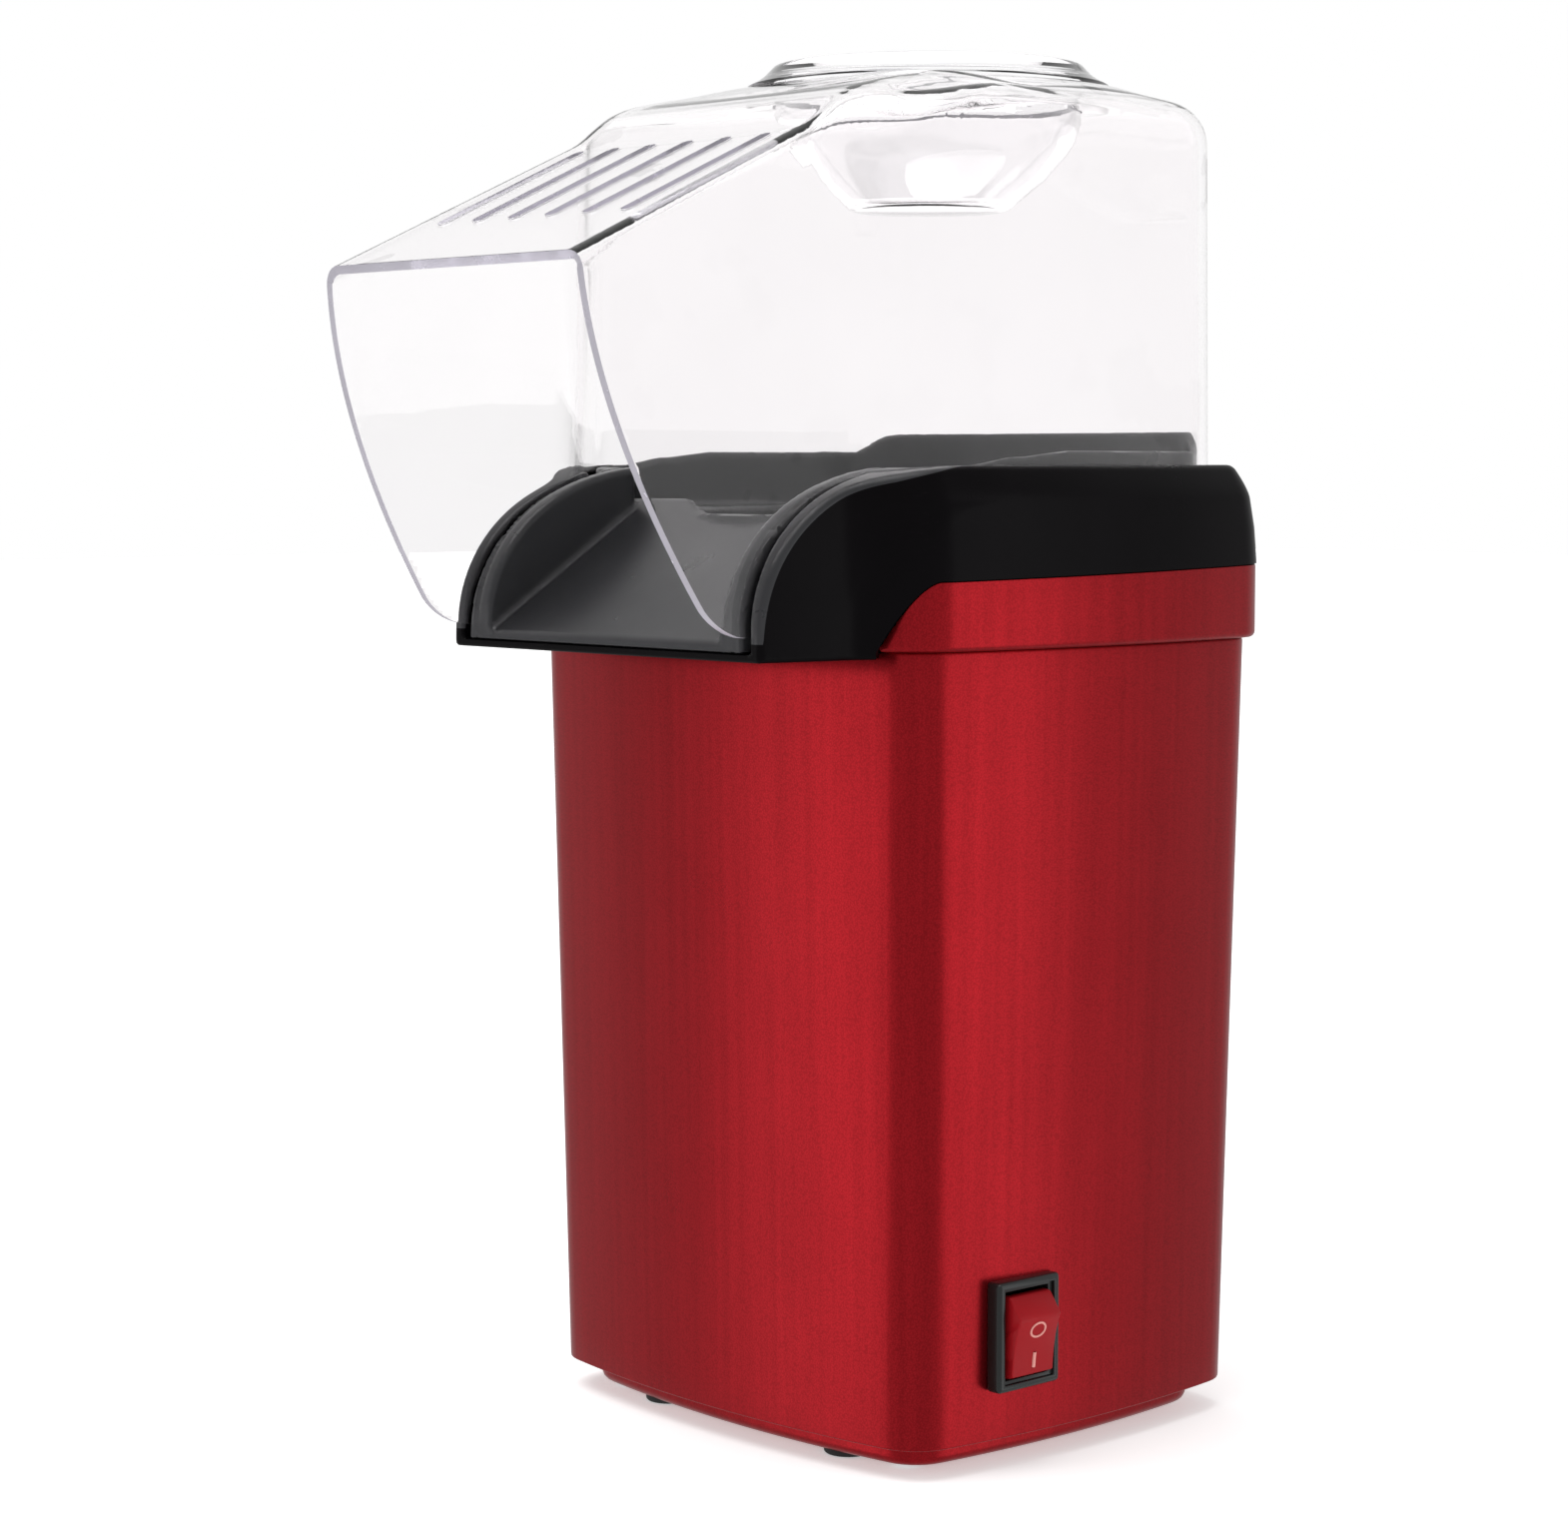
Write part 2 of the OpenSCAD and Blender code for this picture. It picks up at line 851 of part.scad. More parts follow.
module fan_housing() {
    color(black)
    difference() {
        union() {
            translate([0, 0, fan_floor])
                difference() {
                    cylinder(r = fan_ring_r, h = fan_ring_top - fan_floor, $fn = 96);
                    translate([0, 0, -1])
                        cylinder(r = fan_ring_r - 2.4, h = 30, $fn = 96);
                }
            translate([0, 0, fan_floor])
                cylinder(r = 17, h = 2.5);
            for (a = leg_angles)
                rotate([0, 0, a])
                    translate([10, -4, fan_floor])
                        cube([36, 8, 2.5]);
            for (a = leg_angles)
                rotate([0, 0, a])
                    translate([leg_at, 0, foot_gap + 2.3])
                        cylinder(r = 4, h = fan_floor - foot_gap - 1);
        }
        translate([0, 0, fan_floor - 1])
            cylinder(r = 4.2, h = 5);
        for (x = [-8, 8])
            translate([x, 0, fan_floor - 1])
                cylinder(r = 1.6, h = 5);
        for (a = leg_angles)
            rotate([0, 0, a])
                translate([leg_at, 0, foot_gap + 1])
                    cylinder(r = screw_r, h = 16);
    }
}

module housing_screws() {
    color(steel)
    for (a = leg_angles)
        rotate([0, 0, a])
            translate([leg_at, 0, foot_gap - 1])
                screw(2.6, 0.9, screw_r - thread_gap, 14);
}

// Fan with pitched blades; each blade is a slanted sheet trimmed to the swept ring
module fan_impeller() {
    low = 49.5;
    height = 9;
    color(black)
    difference() {
        union() {
            translate([0, 0, low])
                cylinder(r = 8, h = height);
            intersection() {
                translate([0, 0, low])
                    difference() {
                        cylinder(r = fan_r, h = height, $fn = 96);
                        translate([0, 0, -1])
                            cylinder(r = 7.5, h = height + 2);
                    }
                union() {
                    for (i = [0 : blade_count - 1])
                        rotate([0, 0, i * 360 / blade_count])
                            translate([6, 0, low + height / 2])
                                rotate([32, 0, 0])
                                    translate([0, -14, -0.7])
                                        cube([fan_r, 28, 1.4]);
                }
            }
        }
        translate([0, 0, low - 1])
            cylinder(r = shaft_r + thread_gap, h = 20);
    }
}

module motor_shaft() {
    color(steel)
    translate([0, 0, motor_bottom - 2])
        cylinder(r = shaft_r, h = shaft_top - motor_bottom + 2);
}

module motor_can() {
    color(steel)
    difference() {
        union() {
            translate([0, 0, motor_bottom])
                cylinder(r = motor_r, h = fan_floor - motor_bottom - lift_gap);
            translate([0, 0, fan_floor - 1])
                cylinder(r = 4, h = 3.5);
        }
        translate([0, 0, motor_bottom - 1])
            cylinder(r = motor_r - 0.9, h = fan_floor - motor_bottom - 0.2);
        translate([0, 0, fan_floor - 5])
            cylinder(r = 2.6, h = 10);
        for (x = [-8, 8])
            translate([x, 0, fan_floor - 3])
                cylinder(r = screw_r, h = 5);
    }
}

module motor_bearing() {
    color(brass)
    translate([0, 0, fan_floor - 1])
        difference() {
            cylinder(r = 2.58, h = 3.5);
            translate([0, 0, -1])
                cylinder(r = shaft_r + 0.05, h = 6);
        }
}

module motor_magnets() {
    color(grey)
    translate([0, 0, motor_bottom + 3])
        for (side = [0, 180])
            rotate([0, 0, side])
                difference() {
                    cylinder(r = motor_r - 0.95, h = 24);
                    translate([0, 0, -1])
                        cylinder(r = motor_r - 3.6, h = 26);
                    translate([-20, -20, -1])
                        cube([40, 23, 26]);
                }
}

// Laminated core with three poles and a copper winding on each, and the commutator below
module motor_armature() {
    core_low = motor_bottom + 6;
    color(copper)
    difference() {
        union() {
            translate([0, 0, core_low])
                cylinder(r = 5, h = 17);
            for (a = [0, 120, 240])
                rotate([0, 0, a])
                    intersection() {
                        translate([0, 0, core_low + 1])
                            cylinder(r = 9.6, h = 15);
                        translate([3, -4.5, core_low])
                            cube([8, 9, 17]);
                    }
            translate([0, 0, motor_bottom + 1])
                cylinder(r = 3, h = 6);
        }
        translate([0, 0, motor_bottom])
            cylinder(r = shaft_r + thread_gap, h = 30);
    }
}

module motor_end_cap() {
    color(black)
    difference() {
        union() {
            translate([0, 0, motor_bottom - 3.2])
                cylinder(r = motor_r - 0.4, h = 3.2 - 0.05);
            translate([0, 0, motor_bottom - 5])
                cylinder(r = 3.2, h = 2);
            for (side = [-1, 1])
                translate([side * 8 - 0.4, -1.5, motor_bottom - 7])
                    cube([0.8, 3, 4]);
        }
        translate([0, 0, motor_bottom - 2.5])
            cylinder(r = shaft_r + 0.05, h = 5);
    }
}

module motor_screws() {
    color(steel)
    for (x = [-8, 8])
        translate([x, 0, fan_floor + 4.1])
            mirror([0, 0, 1])
                screw(2.4, 1.6, screw_r - thread_gap, 4);
}

module rectifier_board() {
    color("#5b6b3a")
    translate([-43, -27, board_z])
        difference() {
            cube([26, 16, 1.6]);
            for (x = [5, 21])
                translate([x, 7, -1])
                    cylinder(r = 1, h = 4);
        }
}

module diodes() {
    color(black)
    for (i = [0 : 3])
        translate([-40 + 5.2 * i, -24, board_z + 1.6 + 1.45])
            rotate([0, 90, 90])
                cylinder(r = 1.4, h = 5.5);
}

module noise_capacitor() {
    color("#a8862c")
    translate([-40.5, -15.5, board_z + 1.65])
        cube([13, 4, 9]);
}

// ---------- switch ----------

module switch_housing() {
    color(black)
    difference() {
        union() {
            translate([bezel_x + 0.02, switch_y - bezel_w / 2, switch_z - bezel_h / 2])
                cube([bezel_out - 0.02, bezel_w, bezel_h]);
            translate([43, switch_y - 7.2, switch_z - 9.7])
                cube([16, 14.4, 19.4]);
        }
        // well that the rocker tips in
        translate([51, switch_y - rocker_w / 2 - 0.25, switch_z - 8.9])
            cube([20, rocker_w + 0.5, 17.8]);
        // sockets for the two trunnions
        translate([rocker_x, switch_y, switch_z])
            rotate([90, 0, 0])
                cylinder(r = 1.3, h = 13.8, center = true);
    }
}

// Rocker: side view in x and z, tilted so that its lower end is pressed in
module switch_rocker() {
    color(red)
    translate([rocker_x, switch_y, switch_z])
        rotate([0, rocker_tilt, 0]) {
            rotate([90, 0, 0])
                linear_extrude(height = rocker_w, center = true)
                    polygon([
                        [-3.6, -5.6], [-3.6, 5.6], [-0.6, 7.9], [3.4, 6.6],
                        [4.2, 5.6], [2.9, 0], [4.2, -5.6], [3.4, -6.6], [-0.6, -7.9]
                    ]);
            rotate([90, 0, 0])
                cylinder(r = 1.2, h = 13.4, center = true);
        }
}

module switch_terminals() {
    color(brass)
    for (dz = [-6, 0, 6])
        translate([36, switch_y - 2.4, switch_z + dz - 0.4])
            cube([7, 4.8, 0.8]);
}

// ---------- leads ----------

// Smooth curve through the route points
function spline(p, steps) = [
    for (i = [0 : len(p) - 2], k = [0 : steps - 1])
        let (
            a = p[max(i - 1, 0)], b = p[i], c = p[i + 1],
            d = p[min(i + 2, len(p) - 1)], t = k / steps
        )
        0.5 * (2 * b + (c - a) * t + (2 * a - 5 * b + 4 * c - d) * t ^ 2
            + (3 * b - a - 3 * c + d) * t ^ 3),
    p[len(p) - 1]
];

// Round tube swept along a list of points
module sweep_tube(path, r, sides = 8) {
    n = len(path);
    rings = [
        for (i = [0 : n - 1])
            let (
                t0 = path[min(i + 1, n - 1)] - path[max(i - 1, 0)],
                t = t0 / norm(t0),
                u0 = cross(t, [0.31, 0.53, 0.79]),
                u = u0 / norm(u0),
                v = cross(t, u)
            )
            for (k = [0 : sides - 1])
                path[i] + r * (cos(k * 360 / sides) * u + sin(k * 360 / sides) * v)
    ];
    skin = [
        for (i = [0 : n - 2], k = [0 : sides - 1])
            let (k2 = (k + 1) % sides)
            [i * sides + k, i * sides + k2, (i + 1) * sides + k2, (i + 1) * sides + k]
    ];
    polyhedron(
        points = rings,
        faces = concat(
            [[for (k = [sides - 1 : -1 : 0]) k]],
            skin,
            [[for (k = [0 : sides - 1]) (n - 1) * sides + k]]
        )
    );
}

module lead(route) {
    sweep_tube(spline(route, 4), 1);
}

module live_lead() {
    color(black)
    lead([
        [35, -21, 34], [34, -26, 37], [40, -34, 42], [43, -37, 52], [44, -37, 80],
        [48, -29, 98], [54, -14, 108], [58, -6, 112]
    ]);
}

module heater_lead() {
    color(steel)
    lead([
        [58, 6, 112], [57, 9, 104], [56, 8, 92], [56, 4, 80], [54.5, 1, 72.5], [51.2, 0, 70]
    ]);
}

module neutral_lead() {
    color("#2b4f9a")
    lead([
        [35, -21, 21.5], [31, -23, 18], [22, -26, 14], [8, -27, 11],
        [-6, -25, 14], [-12, -22, 20], [-18.6, -22, 18.8]
    ]);
}

module motor_leads() {
    color(red)
    lead([[-18.6, -17, 18.8], [-14, -15, 19], [-12, -12, 9], [-9.6, -5, 7.2], [-9.6, -2.6, 8]]);
    color(red)
    lead([[-18.6, -13, 18.8], [-17, -7, 18], [-15.5, 6, 9], [-4, 14, 6.6], [7, 8, 6.6], [9.6, 2.6, 8]]);
}

body_shell();
collar();
top_deck();
chute_funnel();
lid_hood();
measuring_cup();
base_plate();
rubber_feet();
base_screws();
deck_screws();
chamber_screws();
switch_housing();
switch_rocker();
switch_terminals();
cord_gland();
popping_chamber();
air_duct();
mica_board_x();
mica_board_y();
heater_coil();
dropper_coil();
thermal_fuse();
thermostat();
duct_bushing();
fan_housing();
housing_screws();
fan_impeller();
motor_shaft();
motor_can();
motor_magnets();
motor_armature();
motor_end_cap();
motor_bearing();
motor_screws();
rectifier_board();
diodes();
noise_capacitor();
live_lead();
heater_lead();
neutral_lead();
motor_leads();
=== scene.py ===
# Looks of a household hot-air popcorn maker: bowed red housing, black deck with a chute, a dark
# grey liner, and a clear hood with a measuring cup. Shapes are in millimetres inside this script
# and are scaled to metres when an object is made.

import math

import bmesh
import bpy
import numpy as np
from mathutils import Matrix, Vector


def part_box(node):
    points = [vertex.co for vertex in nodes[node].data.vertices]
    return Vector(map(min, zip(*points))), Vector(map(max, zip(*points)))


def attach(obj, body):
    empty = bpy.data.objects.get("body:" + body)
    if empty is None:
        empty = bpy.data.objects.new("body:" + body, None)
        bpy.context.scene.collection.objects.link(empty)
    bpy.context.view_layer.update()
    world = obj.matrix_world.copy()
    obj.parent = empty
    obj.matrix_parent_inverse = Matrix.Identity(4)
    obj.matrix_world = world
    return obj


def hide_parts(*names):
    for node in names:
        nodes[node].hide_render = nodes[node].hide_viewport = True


MM = 0.001

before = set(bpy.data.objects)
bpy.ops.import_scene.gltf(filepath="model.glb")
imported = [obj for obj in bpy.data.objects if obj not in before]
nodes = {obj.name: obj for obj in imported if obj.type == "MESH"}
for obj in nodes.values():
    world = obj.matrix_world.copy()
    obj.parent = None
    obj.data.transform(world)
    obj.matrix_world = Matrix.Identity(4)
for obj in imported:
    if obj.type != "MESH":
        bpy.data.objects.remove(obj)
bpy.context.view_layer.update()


def span(node):
    """Lowest and highest corner of a CAD node, in millimetres."""
    low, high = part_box(node)
    return [v / MM for v in low], [v / MM for v in high]


# ---------- dimensions, read from the frame ----------

body_low, body_high = span("body_shell")
base_low, base_high = span("base_plate")
collar_high = span("collar")[1]
deck_low, deck_high = span("top_deck")
lid_low, lid_high = span("lid_hood")
cup_low, cup_high = span("measuring_cup")
bezel_low, bezel_high = span("switch_housing")
gland_low, gland_high = span("cord_gland")
liner_high = span("chute_funnel")[1]

BOW = 270.0                     # radius of the outward bow of every side
WALL = 2.2
SEAM = body_high[2]             # joint between the body and the collar
HALF = [body_high[0], body_high[1]]
CORNER = 10.5
TAPER = 3.0
BODY_FOOT = body_low[2]
STEP = collar_high[0] - body_high[0]
COLLAR_TOP = collar_high[2]
DECK_TOP = deck_high[2]
LIP_LOW = deck_low[2]
LIP_TOP = LIP_LOW + 1.6
CHUTE_FRONT = -deck_low[1]
SWEEP_Y = -30.0                 # where the level tops start to fall towards the chute's lip
SWEEP_LOW = 163.0               # height at which that fall would stand upright
SWEEP_POWER = 2.3               # superellipse exponent of the fall
SKIN_HALF = 50.5                # half width of the chute's outer walls
RIM_HALF = 47.2                 # half width at the rim, inside the bevel
FLOOR = 191.0                   # height of the liner's floor
LINER_TOP = liner_high[2] - 0.7
LID = [lid_high[0], lid_high[1], 18.0]
LID_TOP = lid_high[2]
LID_T = 1.8
ROOF_EDGE = LID_TOP - 3.4
HOOD_FRONT = [lid_low[1], 239.0]
RIDGE = [-36.5, ROOF_EDGE]
HOOD_TIP = [-88.0, 168.0]
HOOD_BEND = [-115.5, 208.0]
HOOD_HALF_LOW = 44.2
HOOD_HALF_HIGH = 37.4
HOOD_FLARE = (HOOD_HALF_LOW - HOOD_HALF_HIGH) / (LID_TOP - HOOD_TIP[1])
CUP_Y = (cup_low[1] + cup_high[1]) / 2
CUP_R = cup_high[0]
CUP_TOP = cup_high[2]
CUP_FOOT = cup_low[2]
CUP_HOLE = 32.6


# ---------- distance fields ----------

def inner_corner(a, b, r):
    """Where the two side arcs of a bowed rectangle cross, r inside its surface."""
    p, q = BOW - a, BOW - b
    gap = math.hypot(p, q)
    reach = math.sqrt((BOW - r) ** 2 - gap ** 2 / 4)
    return -p / 2 + reach * q / gap, -q / 2 + reach * p / gap


def plan(x, y, a, b, r):
    """Distance to a rectangle with half sides a and b, bowed sides and round corners."""
    x, y = np.abs(x), np.abs(y)
    cx, cy = inner_corner(a, b, r)
    p, q = BOW - a, BOW - b
    side = np.hypot(x + p, y) - BOW
    back = np.hypot(x, y + q) - BOW
    is_side = (cx + p) * y - cy * (x + p) <= 0
    is_back = cx * (y + q) - (cy + q) * x >= 0
    corner = np.hypot(x - cx, y - cy) - r
    return np.where(is_side & is_back, np.maximum(side, back),
                    np.where(is_side, side, np.where(is_back, back, corner)))


def both(a, b, r):
    """Inside both fields, with the edge rounded to radius r."""
    return np.minimum(np.maximum(a, b), -r) + np.hypot(np.maximum(a + r, 0), np.maximum(b + r, 0))


def either(a, b, r):
    """Inside one field or the other, with the inner corner filled to radius r."""
    return -both(-a, -b, r)


def sweep(y, z, centre, run, top):
    """Distance to the deck's side view: level behind centre, falling as a superellipse before it."""
    n, low = SWEEP_POWER, SWEEP_LOW
    u = np.maximum(centre - y, 0) / run
    v = np.maximum(z - low, 0) / (top - low)
    s = np.maximum((u ** n + v ** n), 1e-9) ** (1 / n)
    slope = np.hypot(u ** (n - 1) / run, v ** (n - 1) / (top - low)) * s ** (1 - n)
    return (s - 1) / np.maximum(slope, 1e-4)


def bezier(p, q, r, count):
    t = np.linspace(0, 1, count)[:, None]
    p, q, r = np.array(p), np.array(q), np.array(r)
    return (1 - t) ** 2 * p + 2 * t * (1 - t) * q + t ** 2 * r


# ---------- meshes ----------

def surface(field, low, high, step):
    """Points and quads of the zero surface of field, pulled on to the surface itself."""
    counts = [int(math.ceil((h - l) / step)) + 1 for l, h in zip(low, high)]
    axes = [l + step * np.arange(c) for l, c in zip(low, counts)]
    grid = np.meshgrid(*axes, indexing="ij")
    value = field(*grid)
    inside = value < 0
    cell_shape = tuple(c - 1 for c in counts)
    total = np.zeros(cell_shape + (3,))
    hits = np.zeros(cell_shape)
    crossings = []
    for axis in range(3):
        near = [slice(None)] * 3
        far = [slice(None)] * 3
        near[axis], far[axis] = slice(0, -1), slice(1, None)
        a, b = value[tuple(near)], value[tuple(far)]
        cross = inside[tuple(near)] != inside[tuple(far)]
        index = np.argwhere(cross)
        t = a[cross] / (a[cross] - b[cross])
        point = index.astype(float)
        point[:, axis] += t
        crossings.append((axis, index, inside[tuple(near)][cross]))
        others = [k for k in range(3) if k != axis]
        for d0 in (0, 1):
            for d1 in (0, 1):
                cell = index.copy()
                cell[:, others[0]] -= d0
                cell[:, others[1]] -= d1
                ok = np.all((cell >= 0) & (cell < np.array(cell_shape)), axis=1)
                np.add.at(total, tuple(cell[ok].T), point[ok])
                np.add.at(hits, tuple(cell[ok].T), 1)
    used = hits > 0
    number = -np.ones(cell_shape, dtype=int)
    number[used] = np.arange(used.sum())
    points = total[used] / hits[used][:, None] * step + np.array(low)
    quads = []
    for axis, index, outward in crossings:
        u, v = [k for k in range(3) if k != axis]
        if axis == 1:
            u, v = v, u
        ok = (index[:, u] > 0) & (index[:, v] > 0)
        ok &= (index[:, u] < cell_shape[u]) & (index[:, v] < cell_shape[v])
        index, outward = index[ok], outward[ok]
        ring = []
        for du, dv in ((-1, -1), (0, -1), (0, 0), (-1, 0)):
            cell = index.copy()
            cell[:, u] += du
            cell[:, v] += dv
            ring.append(number[tuple(cell.T)])
        quad = np.stack(ring, axis=1)
        quad[~outward] = quad[~outward][:, ::-1]
        quads.append(quad)
    start = points
    for _ in range(5):
        points = pull(field, points, step)
    strayed = np.linalg.norm(points - start, axis=1) > step
    points[strayed] = start[strayed]
    return points, np.concatenate(quads)


def pull(field, points, step):
    """One Newton step that moves points on to the zero surface of field."""
    h = 0.05
    centre = field(*points.T)
    slope = np.stack([
        (field(*(points + h * axis).T) - field(*(points - h * axis).T)) / (2 * h)
        for axis in np.eye(3)
    ], axis=1)
    size = np.maximum((slope ** 2).sum(axis=1), 0.05)
    move = -centre[:, None] * slope / size[:, None]
    length = np.linalg.norm(move, axis=1)[:, None]
    return points + move * np.minimum(1, 0.6 * step / np.maximum(length, 1e-9))


def make(name, points, faces, smooth_angle=35):
    """Object from points in millimetres."""
    mesh = bpy.data.meshes.new(name)
    mesh.from_pydata([tuple(float(v) * MM for v in p) for p in points], [],
                     [tuple(int(i) for i in f) for f in faces])
    mesh.validate()
    obj = bpy.data.objects.new(name, mesh)
    bpy.context.collection.objects.link(obj)
    tidy_normals(obj, smooth_angle)
    return obj


def tidy_normals(obj, angle):
    """Faces outwards, and shades smooth every edge flatter than angle, in degrees."""
    bm = bmesh.new()
    bm.from_mesh(obj.data)
    bmesh.ops.recalc_face_normals(bm, faces=bm.faces)
    for f in bm.faces:
        f.smooth = True
    limit = math.radians(angle)
    for e in bm.edges:
        e.smooth = len(e.link_faces) != 2 or e.calc_face_angle(0) < limit
    bm.to_mesh(obj.data)
    bm.free()


def skin(name, field, low, high, step):
    """Object whose surface is where field is zero."""
    points, quads = surface(field, low, high, step)
    return make(name, points, quads, 60)


def trim(obj, field, recolour=False):
    """Cuts a mesh cleanly where field is zero, and removes the part below zero or, with recolour,
    gives it the second material."""
    bm = bmesh.new()
    bm.from_mesh(obj.data)
    bm.verts.ensure_lookup_table()
    xyz = np.array([v.co[:] for v in bm.verts]) / MM
    value = dict(zip(bm.verts, field(*xyz.T)))
    for e in list(bm.edges):
        a, b = e.verts
        fa, fb = value[a], value[b]
        if (fa < 0) == (fb < 0) or min(abs(fa), abs(fb)) < 1e-6:
            continue
        fresh = bmesh.utils.edge_split(e, a, fa / (fa - fb))[1]
        value[fresh] = 0.0
    for f in list(bm.faces):
        cut = [v for v in f.verts if abs(value[v]) < 1e-6]
        if len(cut) == 2 and not any(e.other_vert(cut[0]) is cut[1] for e in cut[0].link_edges):
            bmesh.utils.face_split(f, cut[0], cut[1])
    gone = [f for f in bm.faces if min(value[v] for v in f.verts) < -1e-6]
    if recolour:
        for f in gone:
            f.material_index = 1
    else:
        bmesh.ops.delete(bm, geom=gone, context="FACES")
        loose = [v for v in bm.verts if not v.link_faces]
        bmesh.ops.delete(bm, geom=loose, context="VERTS")
    bm.to_mesh(obj.data)
    bm.free()


def close(obj):
    """Fills the open cut of a trimmed solid."""
    bm = bmesh.new()
    bm.from_mesh(obj.data)
    rim = [e for e in bm.edges if e.is_boundary]
    bmesh.ops.triangle_fill(bm, edges=rim, use_beauty=True, normal=(0, 0, -1))
    bm.to_mesh(obj.data)
    bm.free()
    tidy_normals(obj, 60)


def thicken(obj, thickness, rim_bevel):
    """Turns a trimmed sheet into a wall, inwards, with softened rims."""
    wall = obj.modifiers.new("wall", "SOLIDIFY")
    wall.thickness = thickness * MM
    wall.offset = -1
    wall.use_even_offset = True
    wall.material_offset_rim = 1    # the cut rim takes the second material where there is one
    bake(obj)
    soften(obj, rim_bevel, 60)
    tidy_normals(obj, 50)


def soften(obj, width, angle, segments=2):
    """Rounds every edge sharper than angle, in degrees."""
    edge = obj.modifiers.new("edge", "BEVEL")
    edge.width = width * MM
    edge.segments = segments
    edge.limit_method = "ANGLE"
    edge.angle_limit = math.radians(angle)
    edge.use_clamp_overlap = True
    bake(obj)


def bake(obj):
    """Applies every modifier of an object."""
    graph = bpy.context.evaluated_depsgraph_get()
    done = bpy.data.meshes.new_from_object(obj.evaluated_get(graph))
    obj.modifiers.clear()
    old, obj.data = obj.data, done
    bpy.data.meshes.remove(old)


def loft(name, rings, closed=False, cap_low=False, cap_high=False):
    """Skin over rings of equally many points; closed joins the last ring to the first."""
    count = len(rings[0])
    points = [p for ring in rings for p in ring]
    faces = []
    pairs = len(rings) if closed else len(rings) - 1
    for i in range(pairs):
        j = (i + 1) % len(rings)
        for k in range(count):
            m = (k + 1) % count
            faces.append((i * count + k, i * count + m, j * count + m, j * count + k))
    if cap_low:
        faces.append(tuple(range(count))[::-1])
    if cap_high:
        faces.append(tuple(range((len(rings) - 1) * count, len(rings) * count)))
    return make(name, points, faces)


def bowed_ring(a, b, r, z, side_steps=14, corner_steps=8):
    """Outline of the bowed rectangle at height z."""
    cx, cy = inner_corner(a, b, r)
    p, q = BOW - a, BOW - b
    end = math.atan2(cy, cx + p)
    start = math.atan2(cy + q, cx)
    quarter = [(-p + BOW * math.cos(t), BOW * math.sin(t)) for t in np.linspace(0, end, side_steps)]
    quarter += [(cx + r * math.cos(t), cy + r * math.sin(t))
                for t in np.linspace(end, start, corner_steps)[1:]]
    quarter += [(BOW * math.cos(t), -q + BOW * math.sin(t))
                for t in np.linspace(start, math.pi / 2, side_steps)[1:]]
    ring = quarter + [(-x, y) for x, y in quarter[-2::-1]] + [(-x, -y) for x, y in quarter[1:]]
    ring += [(x, -y) for x, y in quarter[-2:0:-1]]
    return [(x, y, z) for x, y in ring]


def turned(name, profile, centre, steps):
    """Solid of revolution about a vertical axis through centre."""
    rings = []
    for r, z in profile:
        rings.append([(centre[0] + r * math.cos(t), centre[1] + r * math.sin(t), z)
                      for t in np.linspace(0, 2 * math.pi, steps, endpoint=False)])
    return loft(name, rings, closed=True)


def cut(obj, tool):
    """Boolean difference, applied; the tool is removed."""
    mod = obj.modifiers.new("cut", "BOOLEAN")
    mod.object = tool
    mod.operation = "DIFFERENCE"
    mod.solver = "EXACT"
    bake(obj)
    bpy.data.objects.remove(tool)


def block(name, low, high, corner=0.0):
    """Box, with its edges rounded where corner is given."""
    bm = bmesh.new()
    bmesh.ops.create_cube(bm, size=1)
    for v in bm.verts:
        v.co = Vector([(l + (c + 0.5) * (h - l)) * MM for l, c, h in zip(low, v.co, high)])
    mesh = bpy.data.meshes.new(name)
    bm.to_mesh(mesh)
    bm.free()
    obj = bpy.data.objects.new(name, mesh)
    bpy.context.collection.objects.link(obj)
    if corner:
        soften(obj, corner, 30, 3)
    return obj


def wire(name, points, radius, closed=False, resolution=4):
    """Round wire along points."""
    data = bpy.data.curves.new(name, "CURVE")
    data.dimensions = "3D"
    data.bevel_depth = radius * MM
    data.bevel_resolution = resolution
    line = data.splines.new("POLY")
    line.points.add(len(points) - 1)
    for target, p in zip(line.points, points):
        target.co = (p[0] * MM, p[1] * MM, p[2] * MM, 1)
    line.use_cyclic_u = closed
    obj = bpy.data.objects.new(name, data)
    bpy.context.collection.objects.link(obj)
    return obj


# ---------- materials ----------

